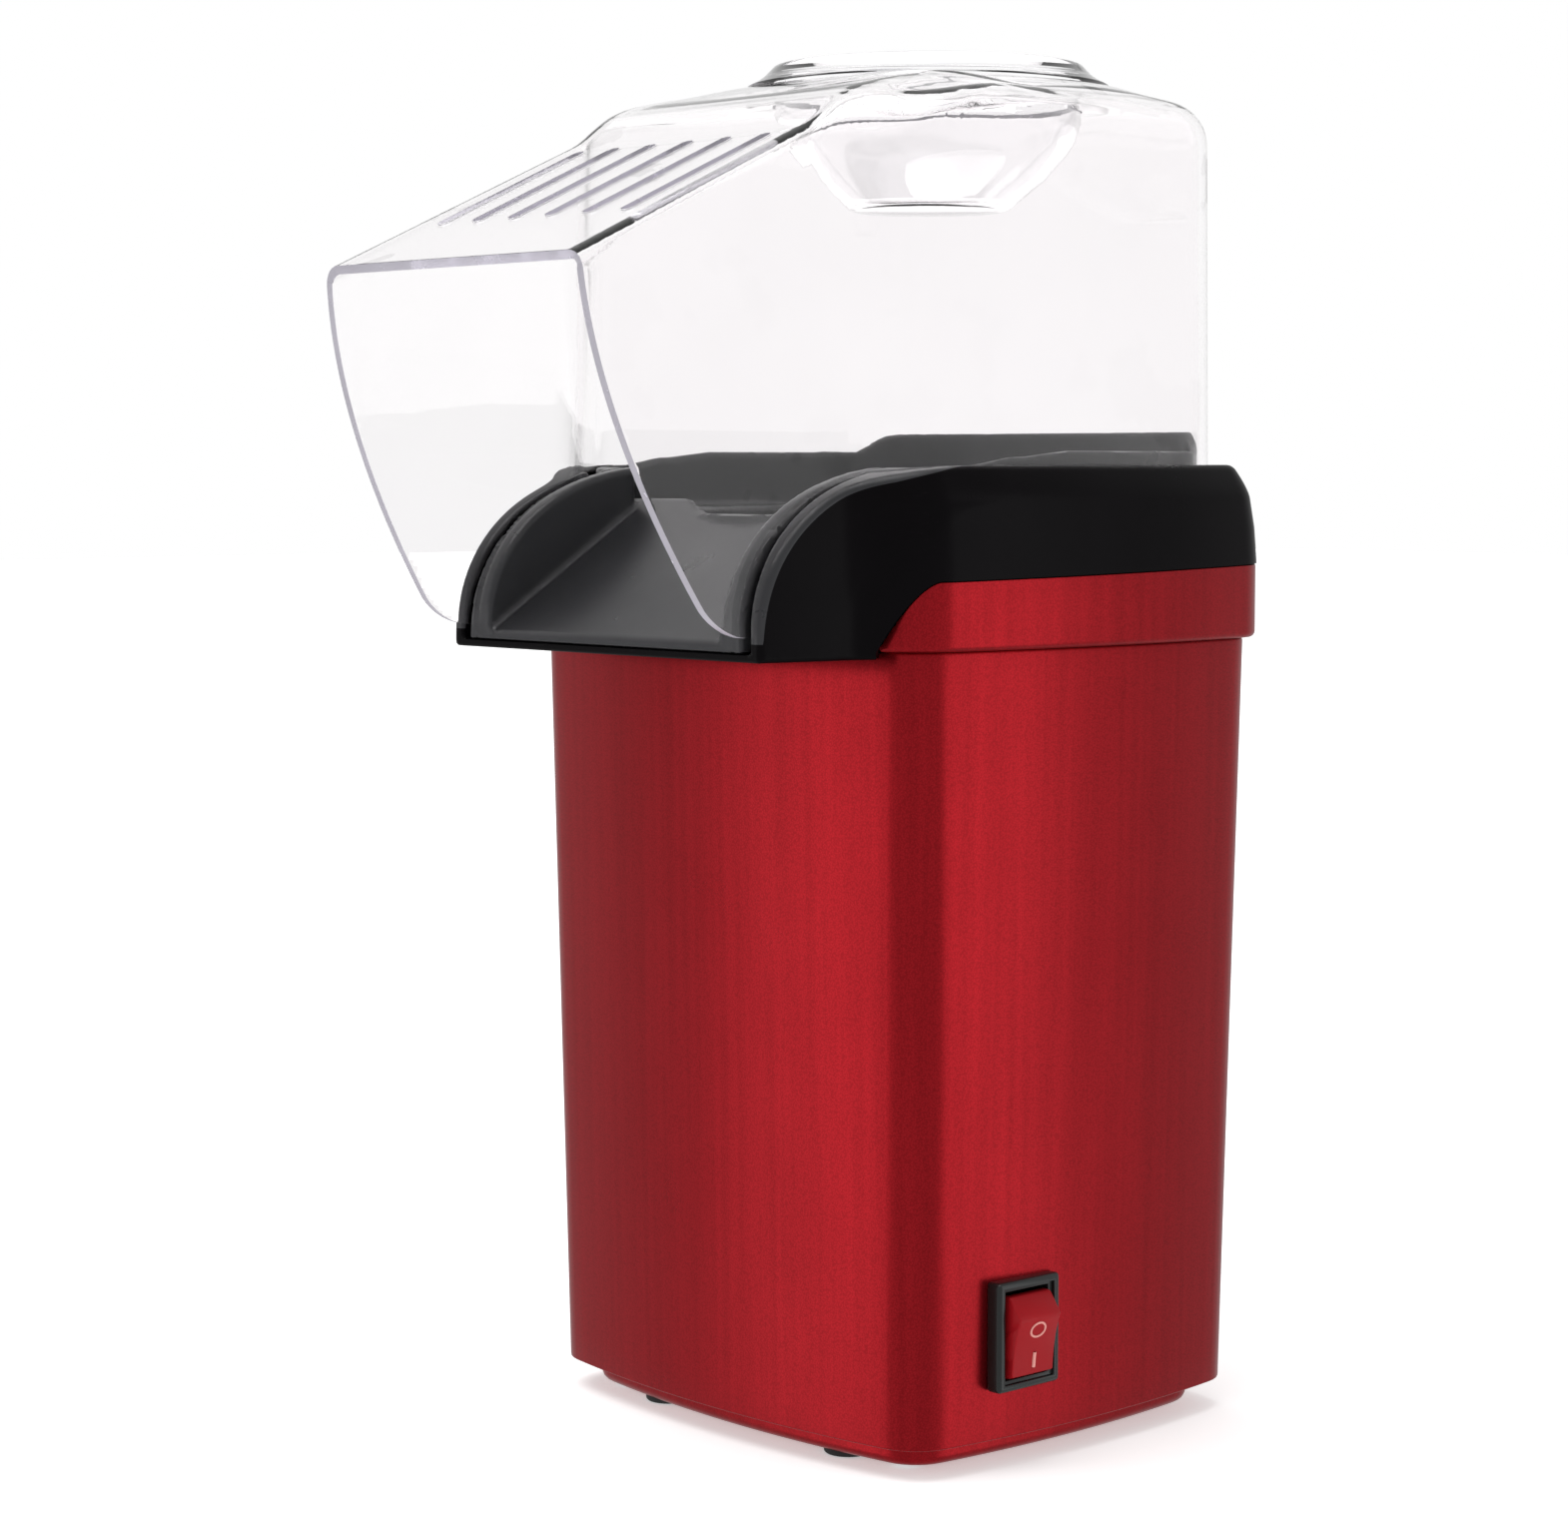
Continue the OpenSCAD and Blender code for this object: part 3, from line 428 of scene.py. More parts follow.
class Shader:
    """A small helper around one node tree."""

    def __init__(self, name):
        self.mat = bpy.data.materials.new(name)
        self.mat.use_nodes = True
        self.tree = self.mat.node_tree
        self.main = self.tree.nodes["Principled BSDF"]
        self.where = self.add("ShaderNodeTexCoord").outputs["Object"]

    def add(self, kind, **values):
        node = self.tree.nodes.new(kind)
        for key, value in values.items():
            setattr(node, key, value)
        return node

    def link(self, a, b):
        self.tree.links.new(a, b)

    def set(self, **values):
        for key, value in values.items():
            self.main.inputs[key.replace("_", " ")].default_value = value

    def noise(self, scale, detail=3, stretch=None):
        node = self.add("ShaderNodeTexNoise")
        node.inputs["Scale"].default_value = scale
        node.inputs["Detail"].default_value = detail
        node.inputs["Roughness"].default_value = 0.55
        source = self.where
        if stretch:
            scaled = self.add("ShaderNodeMapping")
            scaled.inputs["Scale"].default_value = stretch
            self.link(source, scaled.inputs["Vector"])
            source = scaled.outputs["Vector"]
        self.link(source, node.inputs["Vector"])
        return node.outputs["Fac"]

    def cells(self, scale):
        node = self.add("ShaderNodeTexVoronoi", feature="F1")
        node.inputs["Scale"].default_value = scale
        self.link(self.where, node.inputs["Vector"])
        return node

    def ramp(self, source, stops):
        node = self.add("ShaderNodeValToRGB")
        ramp = node.color_ramp
        while len(ramp.elements) < len(stops):
            ramp.elements.new(0.5)
        for element, (place, colour) in zip(ramp.elements, stops):
            element.position = place
            element.color = (*colour, 1) if len(colour) == 3 else colour
        self.link(source, node.inputs["Fac"])
        return node.outputs["Color"]

    def spread(self, source, low, high):
        node = self.add("ShaderNodeMapRange")
        node.inputs["From Min"].default_value = 0.3
        node.inputs["From Max"].default_value = 0.7
        node.inputs["To Min"].default_value = low
        node.inputs["To Max"].default_value = high
        self.link(source, node.inputs["Value"])
        return node.outputs["Result"]

    def bump(self, source, strength, distance):
        node = self.add("ShaderNodeBump")
        node.inputs["Strength"].default_value = strength
        node.inputs["Distance"].default_value = distance * MM
        self.link(source, node.inputs["Height"])
        self.link(node.outputs["Normal"], self.main.inputs["Normal"])
        return node.outputs["Normal"]


def shades(colour, spread):
    """A darker and a lighter version of a colour."""
    return [tuple(c * (1 - spread) for c in colour), tuple(min(1, c * (1 + spread)) for c in colour)]


def plastic(name, colour, rough, spread, grain, bump, coat=0.0, gloss=0.5):
    """Moulded plastic with slight mottling, uneven gloss and a fine spark-eroded grain."""
    s = Shader(name)
    low, high = shades(colour, spread)
    s.link(s.ramp(s.noise(35, 4), [(0.3, low), (0.7, high)]), s.main.inputs["Base Color"])
    s.link(s.spread(s.noise(60, 5), *rough), s.main.inputs["Roughness"])
    s.bump(s.noise(grain, 2), bump, 0.05)
    s.set(Metallic=0.0, Coat_Weight=coat, Coat_Roughness=0.12, Specular_IOR_Level=gloss)
    return s.mat


def lacquer(name, colour):
    """Red metallic lacquer: fine flake in the colour, faint orange peel, satin gloss."""
    s = Shader(name)
    low, high = shades(colour, 0.16)
    flake = s.cells(2600)
    tone = s.ramp(flake.outputs["Distance"], [(0.15, high), (0.75, low)])
    drift = s.ramp(s.noise(14, 3, (1, 1, 0.25)), [(0.3, (0.9, 0.9, 0.9)), (0.7, (1.07, 1.07, 1.07))])
    mix = s.add("ShaderNodeMix", data_type="RGBA", blend_type="MULTIPLY")
    mix.inputs[0].default_value = 1
    s.link(tone, mix.inputs[6])
    s.link(drift, mix.inputs[7])
    streak = s.ramp(s.noise(420, 3, (1, 1, 0.012)),
                    [(0.35, (0.93, 0.93, 0.93)), (0.65, (1.06, 1.06, 1.06))])
    brushed = s.add("ShaderNodeMix", data_type="RGBA", blend_type="MULTIPLY")
    brushed.inputs[0].default_value = 1
    s.link(mix.outputs[2], brushed.inputs[6])
    s.link(streak, brushed.inputs[7])
    s.link(brushed.outputs[2], s.main.inputs["Base Color"])
    s.link(s.spread(s.noise(45, 4), 0.27, 0.34), s.main.inputs["Roughness"])
    s.bump(s.noise(420, 2), 0.06, 0.04)
    s.set(Metallic=0.85, Coat_Weight=0.02, Coat_Roughness=0.2, Specular_IOR_Level=0.12)
    return s.mat


def clear_plastic(name, tint):
    """Clear moulded polycarbonate with a faint haze, tiny flow ripples and handling marks."""
    s = Shader(name)
    low, high = shades(tint, 0.01)
    s.link(s.ramp(s.noise(25, 2), [(0.3, low), (0.7, high)]), s.main.inputs["Base Color"])
    s.link(s.spread(s.noise(40, 4), -0.03, 0.012), s.main.inputs["Roughness"])
    s.bump(s.noise(55, 2), 0.05, 0.08)
    s.set(Transmission_Weight=1.0, IOR=1.38)
    return s.mat


def milky_rim(name, colour):
    """Cut edge of clear plastic: the sheet's end scatters light, so that it looks pale and milky."""
    s = Shader(name)
    low, high = shades(colour, 0.06)
    s.link(s.ramp(s.noise(60, 3), [(0.3, low), (0.7, high)]), s.main.inputs["Base Color"])
    s.link(s.spread(s.noise(200, 3), 0.15, 0.3), s.main.inputs["Roughness"])
    s.bump(s.noise(300, 2), 0.1, 0.05)
    s.set(Transmission_Weight=0.45, IOR=1.3)
    return s.mat


def metal(name, colour, rough=(0.25, 0.4), stretch=None, scale=300, bump=0.1, spread=0.15):
    """Metal with fine marks along its working direction."""
    s = Shader(name)
    low, high = shades(colour, spread)
    marks = s.noise(scale, 4, stretch)
    s.link(s.ramp(s.noise(50, 4), [(0.3, low), (0.7, high)]), s.main.inputs["Base Color"])
    s.link(s.spread(marks, *rough), s.main.inputs["Roughness"])
    s.bump(marks, bump, 0.05)
    s.set(Metallic=1.0)
    return s.mat


def spangled(name, colour):
    """Hot-dip galvanised sheet: large crystals that differ in tone and gloss."""
    s = Shader(name)
    cells = s.cells(140)
    low, high = shades(colour, 0.2)
    tone = s.add("ShaderNodeSeparateColor")
    s.link(cells.outputs["Color"], tone.inputs["Color"])
    s.link(s.ramp(tone.outputs[0], [(0.0, low), (1.0, high)]), s.main.inputs["Base Color"])
    s.link(s.spread(tone.outputs[1], 0.32, 0.5), s.main.inputs["Roughness"])
    s.bump(s.noise(500, 3), 0.1, 0.03)
    s.set(Metallic=1.0)
    return s.mat


def flaky(name, colour):
    """Sheet mica: layered flakes with glints between dull patches."""
    s = Shader(name)
    low, high = shades(colour, 0.35)
    s.link(s.ramp(s.cells(260).outputs["Distance"], [(0.1, high), (0.8, low)]),
           s.main.inputs["Base Color"])
    s.link(s.spread(s.noise(200, 4), 0.25, 0.6), s.main.inputs["Roughness"])
    s.bump(s.cells(180).outputs["Distance"], 0.3, 0.1)
    s.set(Metallic=0.0, Specular_IOR_Level=0.7)
    return s.mat


def braid(name, colour):
    """Woven glass sleeve: two families of crossing threads."""
    s = Shader(name)
    waves = []
    for tilt in (0.75, -0.75):
        turn = s.add("ShaderNodeMapping")
        turn.inputs["Rotation"].default_value = (tilt, tilt, 0)
        s.link(s.where, turn.inputs["Vector"])
        wave = s.add("ShaderNodeTexWave")
        wave.inputs["Scale"].default_value = 900
        wave.inputs["Distortion"].default_value = 0.6
        s.link(turn.outputs["Vector"], wave.inputs["Vector"])
        waves.append(wave.outputs["Fac"])
    both_ways = s.add("ShaderNodeMath", operation="MAXIMUM")
    s.link(waves[0], both_ways.inputs[0])
    s.link(waves[1], both_ways.inputs[1])
    low, high = shades(colour, 0.3)
    s.link(s.ramp(both_ways.outputs[0], [(0.2, low), (0.9, high)]), s.main.inputs["Base Color"])
    s.link(s.spread(s.noise(200, 3), 0.6, 0.8), s.main.inputs["Roughness"])
    s.bump(both_ways.outputs[0], 0.5, 0.15)
    return s.mat


RED = lacquer("red_lacquer", (0.315, 0.0095, 0.0145))
BLACK = plastic("deck_black", (0.0025, 0.002, 0.0025), (0.27, 0.34), 0.2, 700, 0.06, 0, 0.045)
GREY = plastic("liner_grey", (0.027, 0.027, 0.0295), (0.27, 0.35), 0.12, 700, 0.03, 0, 0.26)
CLEAR = clear_plastic("clear_plastic", (0.972, 0.958, 0.964))
CLEAR_CUP = clear_plastic("clear_cup", (0.98, 0.975, 0.98))
RIM = milky_rim("clear_rim", (0.72, 0.69, 0.78))
RUBBER = plastic("foot_rubber", (0.012, 0.012, 0.012), (0.7, 0.85), 0.25, 1200, 0.4)
SWITCH_BLACK = plastic("switch_black", (0.006, 0.009, 0.009), (0.22, 0.34), 0.2, 1100, 0.1)
STEEL = metal("zinc_steel", (0.62, 0.62, 0.64), (0.25, 0.4))
BRASS = metal("plain_brass", (0.72, 0.52, 0.22), (0.25, 0.4))
ALUMINIUM = metal("spun_aluminium", (0.80, 0.80, 0.82), (0.22, 0.36), (0.4, 0.4, 14), 220, 0.15)
GALVANISED = spangled("galvanised", (0.56, 0.58, 0.61))
NICHROME = metal("oxidised_wire", (0.30, 0.27, 0.25), (0.4, 0.6), None, 700, 0.3, 0.3)
MICA = flaky("sheet_mica", (0.52, 0.40, 0.22))
BAKELITE = plastic("bakelite", (0.016, 0.015, 0.014), (0.3, 0.5), 0.35, 900, 0.15)
CERAMIC = plastic("glazed_ceramic", (0.82, 0.80, 0.74), (0.12, 0.25), 0.05, 500, 0.1, 0.5)
FERRITE = plastic("ferrite", (0.045, 0.045, 0.05), (0.55, 0.7), 0.3, 1500, 0.35)
COPPER = metal("enamelled_copper", (0.72, 0.30, 0.14), (0.2, 0.35), (1, 1, 30), 500, 0.4)
BOARD = plastic("phenolic_board", (0.20, 0.13, 0.05), (0.4, 0.55), 0.2, 1500, 0.25)
OCHRE = plastic("dipped_ochre", (0.55, 0.30, 0.04), (0.2, 0.3), 0.12, 500, 0.15, 0.4)
ROCKER_RED = plastic("rocker_red", (0.30, 0.006, 0.010), (0.3, 0.4), 0.1, 600, 0.05, 0.0, 0.12)
SYMBOL = plastic("symbol_pink", (0.72, 0.30, 0.26), (0.35, 0.45), 0.06, 900, 0.1)
SLEEVES = {
    "live_lead": braid("sleeve_black", (0.03, 0.03, 0.03)),
    "heater_lead": braid("sleeve_white", (0.75, 0.73, 0.68)),
    "neutral_lead": braid("sleeve_blue", (0.03, 0.09, 0.35)),
    "motor_leads": braid("sleeve_red", (0.45, 0.02, 0.02)),
}


def paint(obj, material):
    obj.data.materials.clear()
    obj.data.materials.append(material)


def finish(obj, material, slot, body, *stands_for):
    """Gives a piece its look, its body and the CAD nodes that it stands for."""
    if material:
        paint(obj, material)
    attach(obj, body)
    if stands_for:
        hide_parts(*stands_for)
    return obj


# ---------- red housing ----------

def lean(z):
    return TAPER * (SEAM - z) / (SEAM - BODY_FOOT)


def make_body():
    """Red shell: leaning bowed walls, rounded foot edge, inner wall and rim, joined as one loft."""
    rings = []
    round_r = 0.3
    foot = BODY_FOOT

    def ring(t, z):
        rings.append(bowed_ring(HALF[0] + t - lean(z), HALF[1] + t - lean(z), CORNER + t, z))

    for z in np.linspace(SEAM - 0.5, foot + round_r, 26):
        ring(0, z)
    for a in np.linspace(0, 90, 6)[1:]:
        t = -round_r * (1 - math.cos(math.radians(a)))
        ring(t, foot + round_r - round_r * math.sin(math.radians(a)))
    for t in (-3.4, -6.0):
        ring(t, foot)
    ring(-6.0, foot + WALL)
    ring(-WALL - 0.5, foot + WALL)
    ring(-WALL, foot + WALL + 0.5)
    ring(-WALL, SEAM)
    ring(-0.5, SEAM)
    ring(-0.15, SEAM - 0.15)
    body = loft("housing_body", rings, closed=True)
    # window for the switch
    _, ym, zm = [(a + b) / 2 for a, b in zip(bezel_low, bezel_high)]
    cut(body, block("window", [45, ym - 7.6, zm - 10], [70, ym + 7.6, zm + 10]))
    # cord gland hole and air louvres in the back wall
    hole = turned("cord_hole", [(0.01, -20), (5.7, -20), (5.7, 20), (0.01, 20)], (0, 0), 48)
    hole.rotation_euler = (math.radians(90), 0, 0)
    hole.location = (0, 50 * MM, (gland_low[2] + gland_high[2]) / 2 * MM)
    bpy.context.view_layer.update()
    cut(body, hole)
    for side in (-1, 1):
        for i in range(5):
            z = 14 + 5 * i
            cut(body, block("louvre", [side * 28 - 11, 44, z], [side * 28 + 11, 66, z + 2.4], 1.1))
    tidy_normals(body, 40)
    return finish(body, RED, "red_housing", "housing", "body_shell")


def swoosh_height(x, y):
    """Height of the line where the black deck takes over from the red collar.

    Round each front corner the line climbs as the corner turns; along the sides it rises gently."""
    climb = 13.6
    turn = np.abs(x) + y            # grows from the front face, round the corner, to the side
    share = np.clip((turn + 2.6) / 18, 0, 1)
    corner = SEAM + climb * (1 - (1 - share) ** 1.6)
    back = COLLAR_TOP - 0.1
    straight = SEAM + climb + (back - SEAM - climb) * np.clip((y + 43.5) / 103.5, 0, 1)
    line = np.where((y > 0) | (share >= 1), straight, corner)
    return np.where((y < 0) & (share <= 0), SEAM - 12, line)


def make_collar():
    """Red collar: a band with a rounded lower edge, an inner ledge and a swept top edge."""
    round_r = 1.3
    arc = [(STEP - round_r + round_r * math.sin(a), SEAM + 0.1 + round_r - round_r * math.cos(a))
           for a in np.linspace(0, math.pi / 2, 6)]
    top = [(STEP, 0.35), (STEP - 0.1, 0.1), (STEP - 0.35, 0.0), (STEP - WALL + 0.3, 0.0),
           (STEP - WALL, 0.3)]
    low = [(STEP - WALL, SEAM + 2.3), (-WALL, SEAM + 2.3), (-WALL, SEAM + 0.1)]
    outlines = {t: bowed_ring(HALF[0] + t, HALF[1] + t, CORNER + t, 0, 40, 26)
                for t, _ in arc + top + low}
    count = len(outlines[STEP])
    height = [float(swoosh_height(np.array(p[0]), np.array(p[1]))) for p in outlines[STEP]]
    first = next(k for k in range(count - 1, 0, -1) if height[k - 1] < SEAM + 0.8)
    rings = []
    for step in range(count):
        k = (first + step) % count
        if height[k] < SEAM + 0.8:
            continue
        section = [(*outlines[t][k][:2], min(z, height[k] - 0.02)) for t, z in arc]
        section += [(*outlines[t][k][:2], height[k] - drop) for t, drop in top]
        section += [(*outlines[t][k][:2], min(z, height[k] - 0.2)) for t, z in low]
        rings.append(section)
    obj = loft("collar_band", rings, cap_low=True, cap_high=True)
    return finish(obj, RED, "red_housing", "housing", "collar")


# ---------- black deck and grey liner ----------

def slot_line(z):
    """Half width of the outer face of the hood's chute walls, which lean in towards the top."""
    return HOOD_HALF_LOW - HOOD_FLARE * (z - HOOD_TIP[1])


def deck_outside(x, y, z):
    """Outer skin of the deck: the leaning sides flow round the corners into the chute's walls."""
    inset = 0.077 * np.clip(z - 180, 0, 7) + 0.16 * np.clip(z - 187, 0, 6)
    wide = plan(x, y, HALF[0] + STEP + 0.2, HALF[1] + STEP + 0.2, CORNER + STEP + 0.2) + inset
    chute = np.maximum(np.abs(x) - SKIN_HALF, y + 20)
    return either(wide, chute, 8)


def deck_parts(x, y, z):
    """Distance to the deck, and to its top surface alone."""
    top = sweep(y, z, SWEEP_Y, CHUTE_FRONT + SWEEP_Y, DECK_TOP)
    ridge = sweep(y, z, -20, 42, 193.0)
    share = np.clip(ridge / np.maximum(ridge - top, 0.5), 0, 1.2)
    depth = SKIN_HALF - RIM_HALF + 0.5 * np.clip((y + 62) / 30, 0, 1)
    out = deck_outside(x, y, z) + depth * share ** 1.35
    solid = both(0.92 * out, top, 1.0)
    solid = both(solid, -(y + CHUTE_FRONT), 1.5)
    solid = both(solid, LIP_LOW - z, 1.0)
    cavity = plan(x, y, HALF[0] + 0.3, HALF[1] + 0.3, CORNER + 0.3) + 0.4 * np.maximum(z - 178, 0)
    cavity = np.maximum(cavity, z - FLOOR + 0.5)
    groove = np.maximum(plan(x, y, LID[0] + 0.5, LID[1] + 0.5, LID[2] + 0.5), FLOOR - 2 - z)
    channel = both(np.abs(x) - slot_line(z) - 0.25, LIP_TOP - z, 1.0)
    ledge = np.minimum(np.abs(x) - slot_line(z) + LID_T + 0.3, -6.8 - top)
    channel = np.maximum(both(channel, ledge, 0.3), y + 25)
    solid = both(solid, -cavity, 0.4)
    solid = both(solid, -groove, 0.7)
    solid = both(solid, -channel, 0.8)
    return solid, top


def deck_field(x, y, z):
    return deck_parts(x, y, z)[0]


def wing_band(x, y, z):
    """Negative on the grey band along the top of each chute wing, which tapers off to the rear."""
    top = deck_parts(x, y, z)[1]
    deep = 1.3 * np.clip((-36 - y) / 14, 0, 1)
    return np.maximum(np.maximum(-top - deep, y + 36), LIP_TOP + 2.0 - z)


def make_deck():
    obj = skin("deck_moulding", deck_field, [-68, -CHUTE_FRONT - 2, LIP_LOW - 2],
               [68, 61, DECK_TOP + 2], 0.75)
    trim(obj, lambda x, y, z: z - swoosh_height(x, y) - 0.15)
    close(obj)
    obj.data.materials.append(BLACK)
    obj.data.materials.append(GREY)
    trim(obj, wing_band, recolour=True)
    tidy_normals(obj, 60)
    return finish(obj, None, "black_deck", "housing", "top_deck")


def liner_field(x, y, z):
    """Liner: floor round the chamber mouth, a low wall inside the hood, a ramp and its cheeks."""
    cheek = slot_line(z) - LID_T - 0.35
    outer = plan(x, y, LID[0] - LID_T - 0.7, LID[1] - LID_T - 0.7, LID[2] - 2.5)
    well = either(outer, np.maximum(np.abs(x) - cheek, y + 30), 4)
    well = both(well, -(y + CHUTE_FRONT - 0.4), 0.8)
    rise = np.clip((y - 36) / 8, 0, 1)
    high = LINER_TOP + 4.1 * rise * rise * (3 - 2 * rise)
    high = high - 1.2 * np.clip((-5 - y) / 12, 0, 1)
    high = high + (DECK_TOP + 1.1 - LINER_TOP) * np.clip((-20 - y) / 10, 0, 1)
    top = np.where(y < SWEEP_Y, sweep(y, z, SWEEP_Y, CHUTE_FRONT + SWEEP_Y, DECK_TOP - 0.1), z - high)
    solid = both(well, top, 0.8)
    solid = both(solid, LIP_TOP + 0.1 - z, 0.3)
    # the ramp runs straight down from a crest at the chamber's edge to the lip
    slope = (193.0 - LIP_TOP - 1.7) / (CHUTE_FRONT - 38.4)
    ramp_top = np.minimum(193.0 + slope * (y + 38), np.maximum(FLOOR, 193.0 - 0.5 * (y + 38)))
    inner = either(np.maximum(outer + 2.0, -(y + 40)), np.maximum(np.abs(x) - 35.5, y + 31), 3)
    hollow = both(inner, ramp_top - z, 0.9)
    solid = both(solid, -hollow, 0.9)
    under = z - ramp_top + 2.2
    solid = np.maximum(solid, -np.maximum(np.maximum(inner - 0.5, under), LIP_TOP + 1.2 - z))
    # fine seam along the top of each cheek
    seam = np.hypot(np.maximum(np.abs(np.abs(x) - 39.6) - 0.25, 0), np.minimum(top, 0) * 0.6) - 0.25
    solid = np.where(y < -20, both(solid, -seam, 0.3), solid)
    r = np.hypot(x, y)
    mouth = 43.4
    throat = np.maximum(r - mouth - 2.2, np.maximum(178 - z, z - FLOOR + 1))
    solid = np.minimum(solid, throat)
    return both(solid, mouth - r, 1.2)


def make_liner():
    obj = skin("chute_liner", liner_field, [-59, -CHUTE_FRONT, LIP_TOP - 2],
               [59, 52, LINER_TOP + 6], 0.9)
    return finish(obj, GREY, "grey_liner", "housing", "chute_funnel")


# ---------- clear hood ----------

def hood_outside(x, y, z):
    square = plan(x, y, *LID) + 0.012 * (z - FLOOR)
    run, rise = RIDGE[0] - HOOD_FRONT[0], RIDGE[1] - HOOD_FRONT[1]
    size = math.hypot(run, rise)
    roof = ((z - HOOD_FRONT[1]) * run - (y - HOOD_FRONT[0]) * rise) / size
    side = np.abs(x) - slot_line(z)
    side = np.maximum(side, y + 20)
    away = np.hypot(x, y - CUP_Y)
    seat = np.clip((54.0 - away) / 16, 0, 1)
    top = z - ROOF_EDGE - (LID_TOP - ROOF_EDGE) * seat * seat * (3 - 2 * seat)
    chest = both(both(square, roof, 6), top, 9)
    chute = both(both(side, roof, 3.4), z - ROOF_EDGE, 3.4)
    return either(chest, chute, 12)


def hood_edge_cut(x, y, z):
    """Positive inside the side view of the hood: curved front edge, round tip, swept lower edge."""
    curve = bezier(HOOD_FRONT, HOOD_BEND, HOOD_TIP, 60)[::-1]
    curve = np.vstack([[[-83.5, 160.0]], curve])
    front = (np.interp(z, curve[:, 1], curve[:, 0]) - y) * 0.9
    lower = -sweep(y, z, SWEEP_Y, CHUTE_FRONT + SWEEP_Y - 7.5, DECK_TOP - 6)
    under = np.where(y < -36, lower, FLOOR + 0.1 - z)
    tip = both(front, HOOD_TIP[1] - 0.5 - z, 6)
    return -both(tip, under, 5)


def slot_cut(x, y, z):
    """Negative inside one of the six steam slots."""
    run, rise = RIDGE[0] - HOOD_FRONT[0], RIDGE[1] - HOOD_FRONT[1]
    size = math.hypot(run, rise)
    along = (y - HOOD_FRONT[0]) * run / size + (z - HOOD_FRONT[1]) * rise / size
    centre = (-79.5 - HOOD_FRONT[0]) * size / run
    best = np.full(np.shape(x), 1e3)
    for i in range(6):
        across = x - (i - 2.5) * 11.4
        best = np.minimum(best, np.hypot(across, np.maximum(np.abs(along - centre) - 18.5, 0)) - 1.5)
    return np.where(z > 236, best, 1e3)


def refine(obj, field, reach):
    """Subdivides faces within reach of the zero line of a field, so that a cut there is clean."""
    bm = bmesh.new()
    bm.from_mesh(obj.data)
    bm.verts.ensure_lookup_table()
    xyz = np.array([v.co[:] for v in bm.verts]) / MM
    near = dict(zip(bm.verts, np.abs(field(*xyz.T)) < reach))
    edges = [e for e in bm.edges if near[e.verts[0]] and near[e.verts[1]]]
    bmesh.ops.subdivide_edges(bm, edges=edges, cuts=1, use_grid_fill=True)
    bm.to_mesh(obj.data)
    bm.free()


def make_hood():
    points, quads = surface(hood_outside, [-64, -130, 155], [64, 57, LID_TOP + 4], 1.15)
    hood = make("clear_hood", points, quads, 60)
    refine(hood, slot_cut, 2.2)
    for field in (hood_edge_cut, slot_cut,
                  lambda x, y, z: np.where(z > 265, np.hypot(x, y - CUP_Y) - CUP_HOLE, 1e3)):
        trim(hood, field)
    hood.data.materials.append(CLEAR)
    hood.data.materials.append(RIM)
    thicken(hood, LID_T, 0.3)
    return finish(hood, None, "clear_hood", "hood", "lid_hood")


def make_cup():
    """Clear measuring cup: a bowl, a straight neck and a domed flange that rests on the hood."""
    flange = LID_TOP + 0.1
    neck = CUP_HOLE - 0.4
    foot = CUP_FOOT
    t = 1.2
    outside = [(0.02, foot), (15.6, foot), (17.2, foot + 0.4), (18.6, foot + 1.6), (24.4, foot + 6.4),
               (29.2, foot + 11.8), (30.9, foot + 14.4), (31.6, foot + 17), (neck, foot + 19.5),
               (neck, flange + 1.4), (neck + 0.5, flange + 2.0), (CUP_R - 2.6, flange + 0.7),
               (CUP_R - 1.2, flange), (CUP_R - 0.3, flange), (CUP_R, flange + 0.3),
               (CUP_R - 0.2, flange + 0.9),
               (CUP_R - 1.8, flange + 1.7), (CUP_R - 3.6, flange + 2.9), (CUP_R - 5.0, CUP_TOP - 0.9),
               (neck + 0.6, CUP_TOP - 0.15), (neck, CUP_TOP), (neck - t + 0.3, CUP_TOP - 0.05),
               (neck - t, CUP_TOP - 0.5)]
    inside = [(neck - t, foot + 19.6), (31.6 - t, foot + 17.2), (30.8 - t, foot + 14.8),
              (29.0 - t, foot + 12.4), (23.6, foot + 7.4), (17.8, foot + 2.7), (16.6, foot + 1.6),
              (15.2, foot + t), (0.02, foot + t)]
    cup = turned("measuring_bowl", outside + inside, (0, CUP_Y), 128)
    finish(cup, CLEAR_CUP, "clear_hood", "cup", "measuring_cup")
    return cup


# ---------- switch ----------

def make_switch():
    """Black snap-in frame with a stepped front, and the red rocker with its two marks."""
    y0, y1, z0, z1 = bezel_low[1], bezel_high[1], bezel_low[2], bezel_high[2]
    ym, zm = (y0 + y1) / 2, (z0 + z1) / 2
    face = bezel_high[0]
    back = 43.0
    frame_part = block("switch_bezel", [58.05, y0, z0], [face, y1, z1], 0.9)
    step = block("step", [face - 0.9, ym - 7.0, zm - 9.6], [face + 3, ym + 7.0, zm + 9.6])
    cut(frame_part, step)
    stem = block("stem", [back, ym - 7.2, zm - 9.7], [59, ym + 7.2, zm + 9.7])
    join = frame_part.modifiers.new("join", "BOOLEAN")
    join.object = stem
    join.operation = "UNION"
    bake(frame_part)
    bpy.data.objects.remove(stem)
    cut(frame_part, block("well", [51, ym - 6.05, zm - 8.9], [80, ym + 6.05, zm + 8.9]))
    soften(frame_part, 0.25, 50, 2)
    tidy_normals(frame_part, 40)
    finish(frame_part, SWITCH_BLACK, "black_switch", "housing", "switch_housing")
    make_rocker(ym, zm)


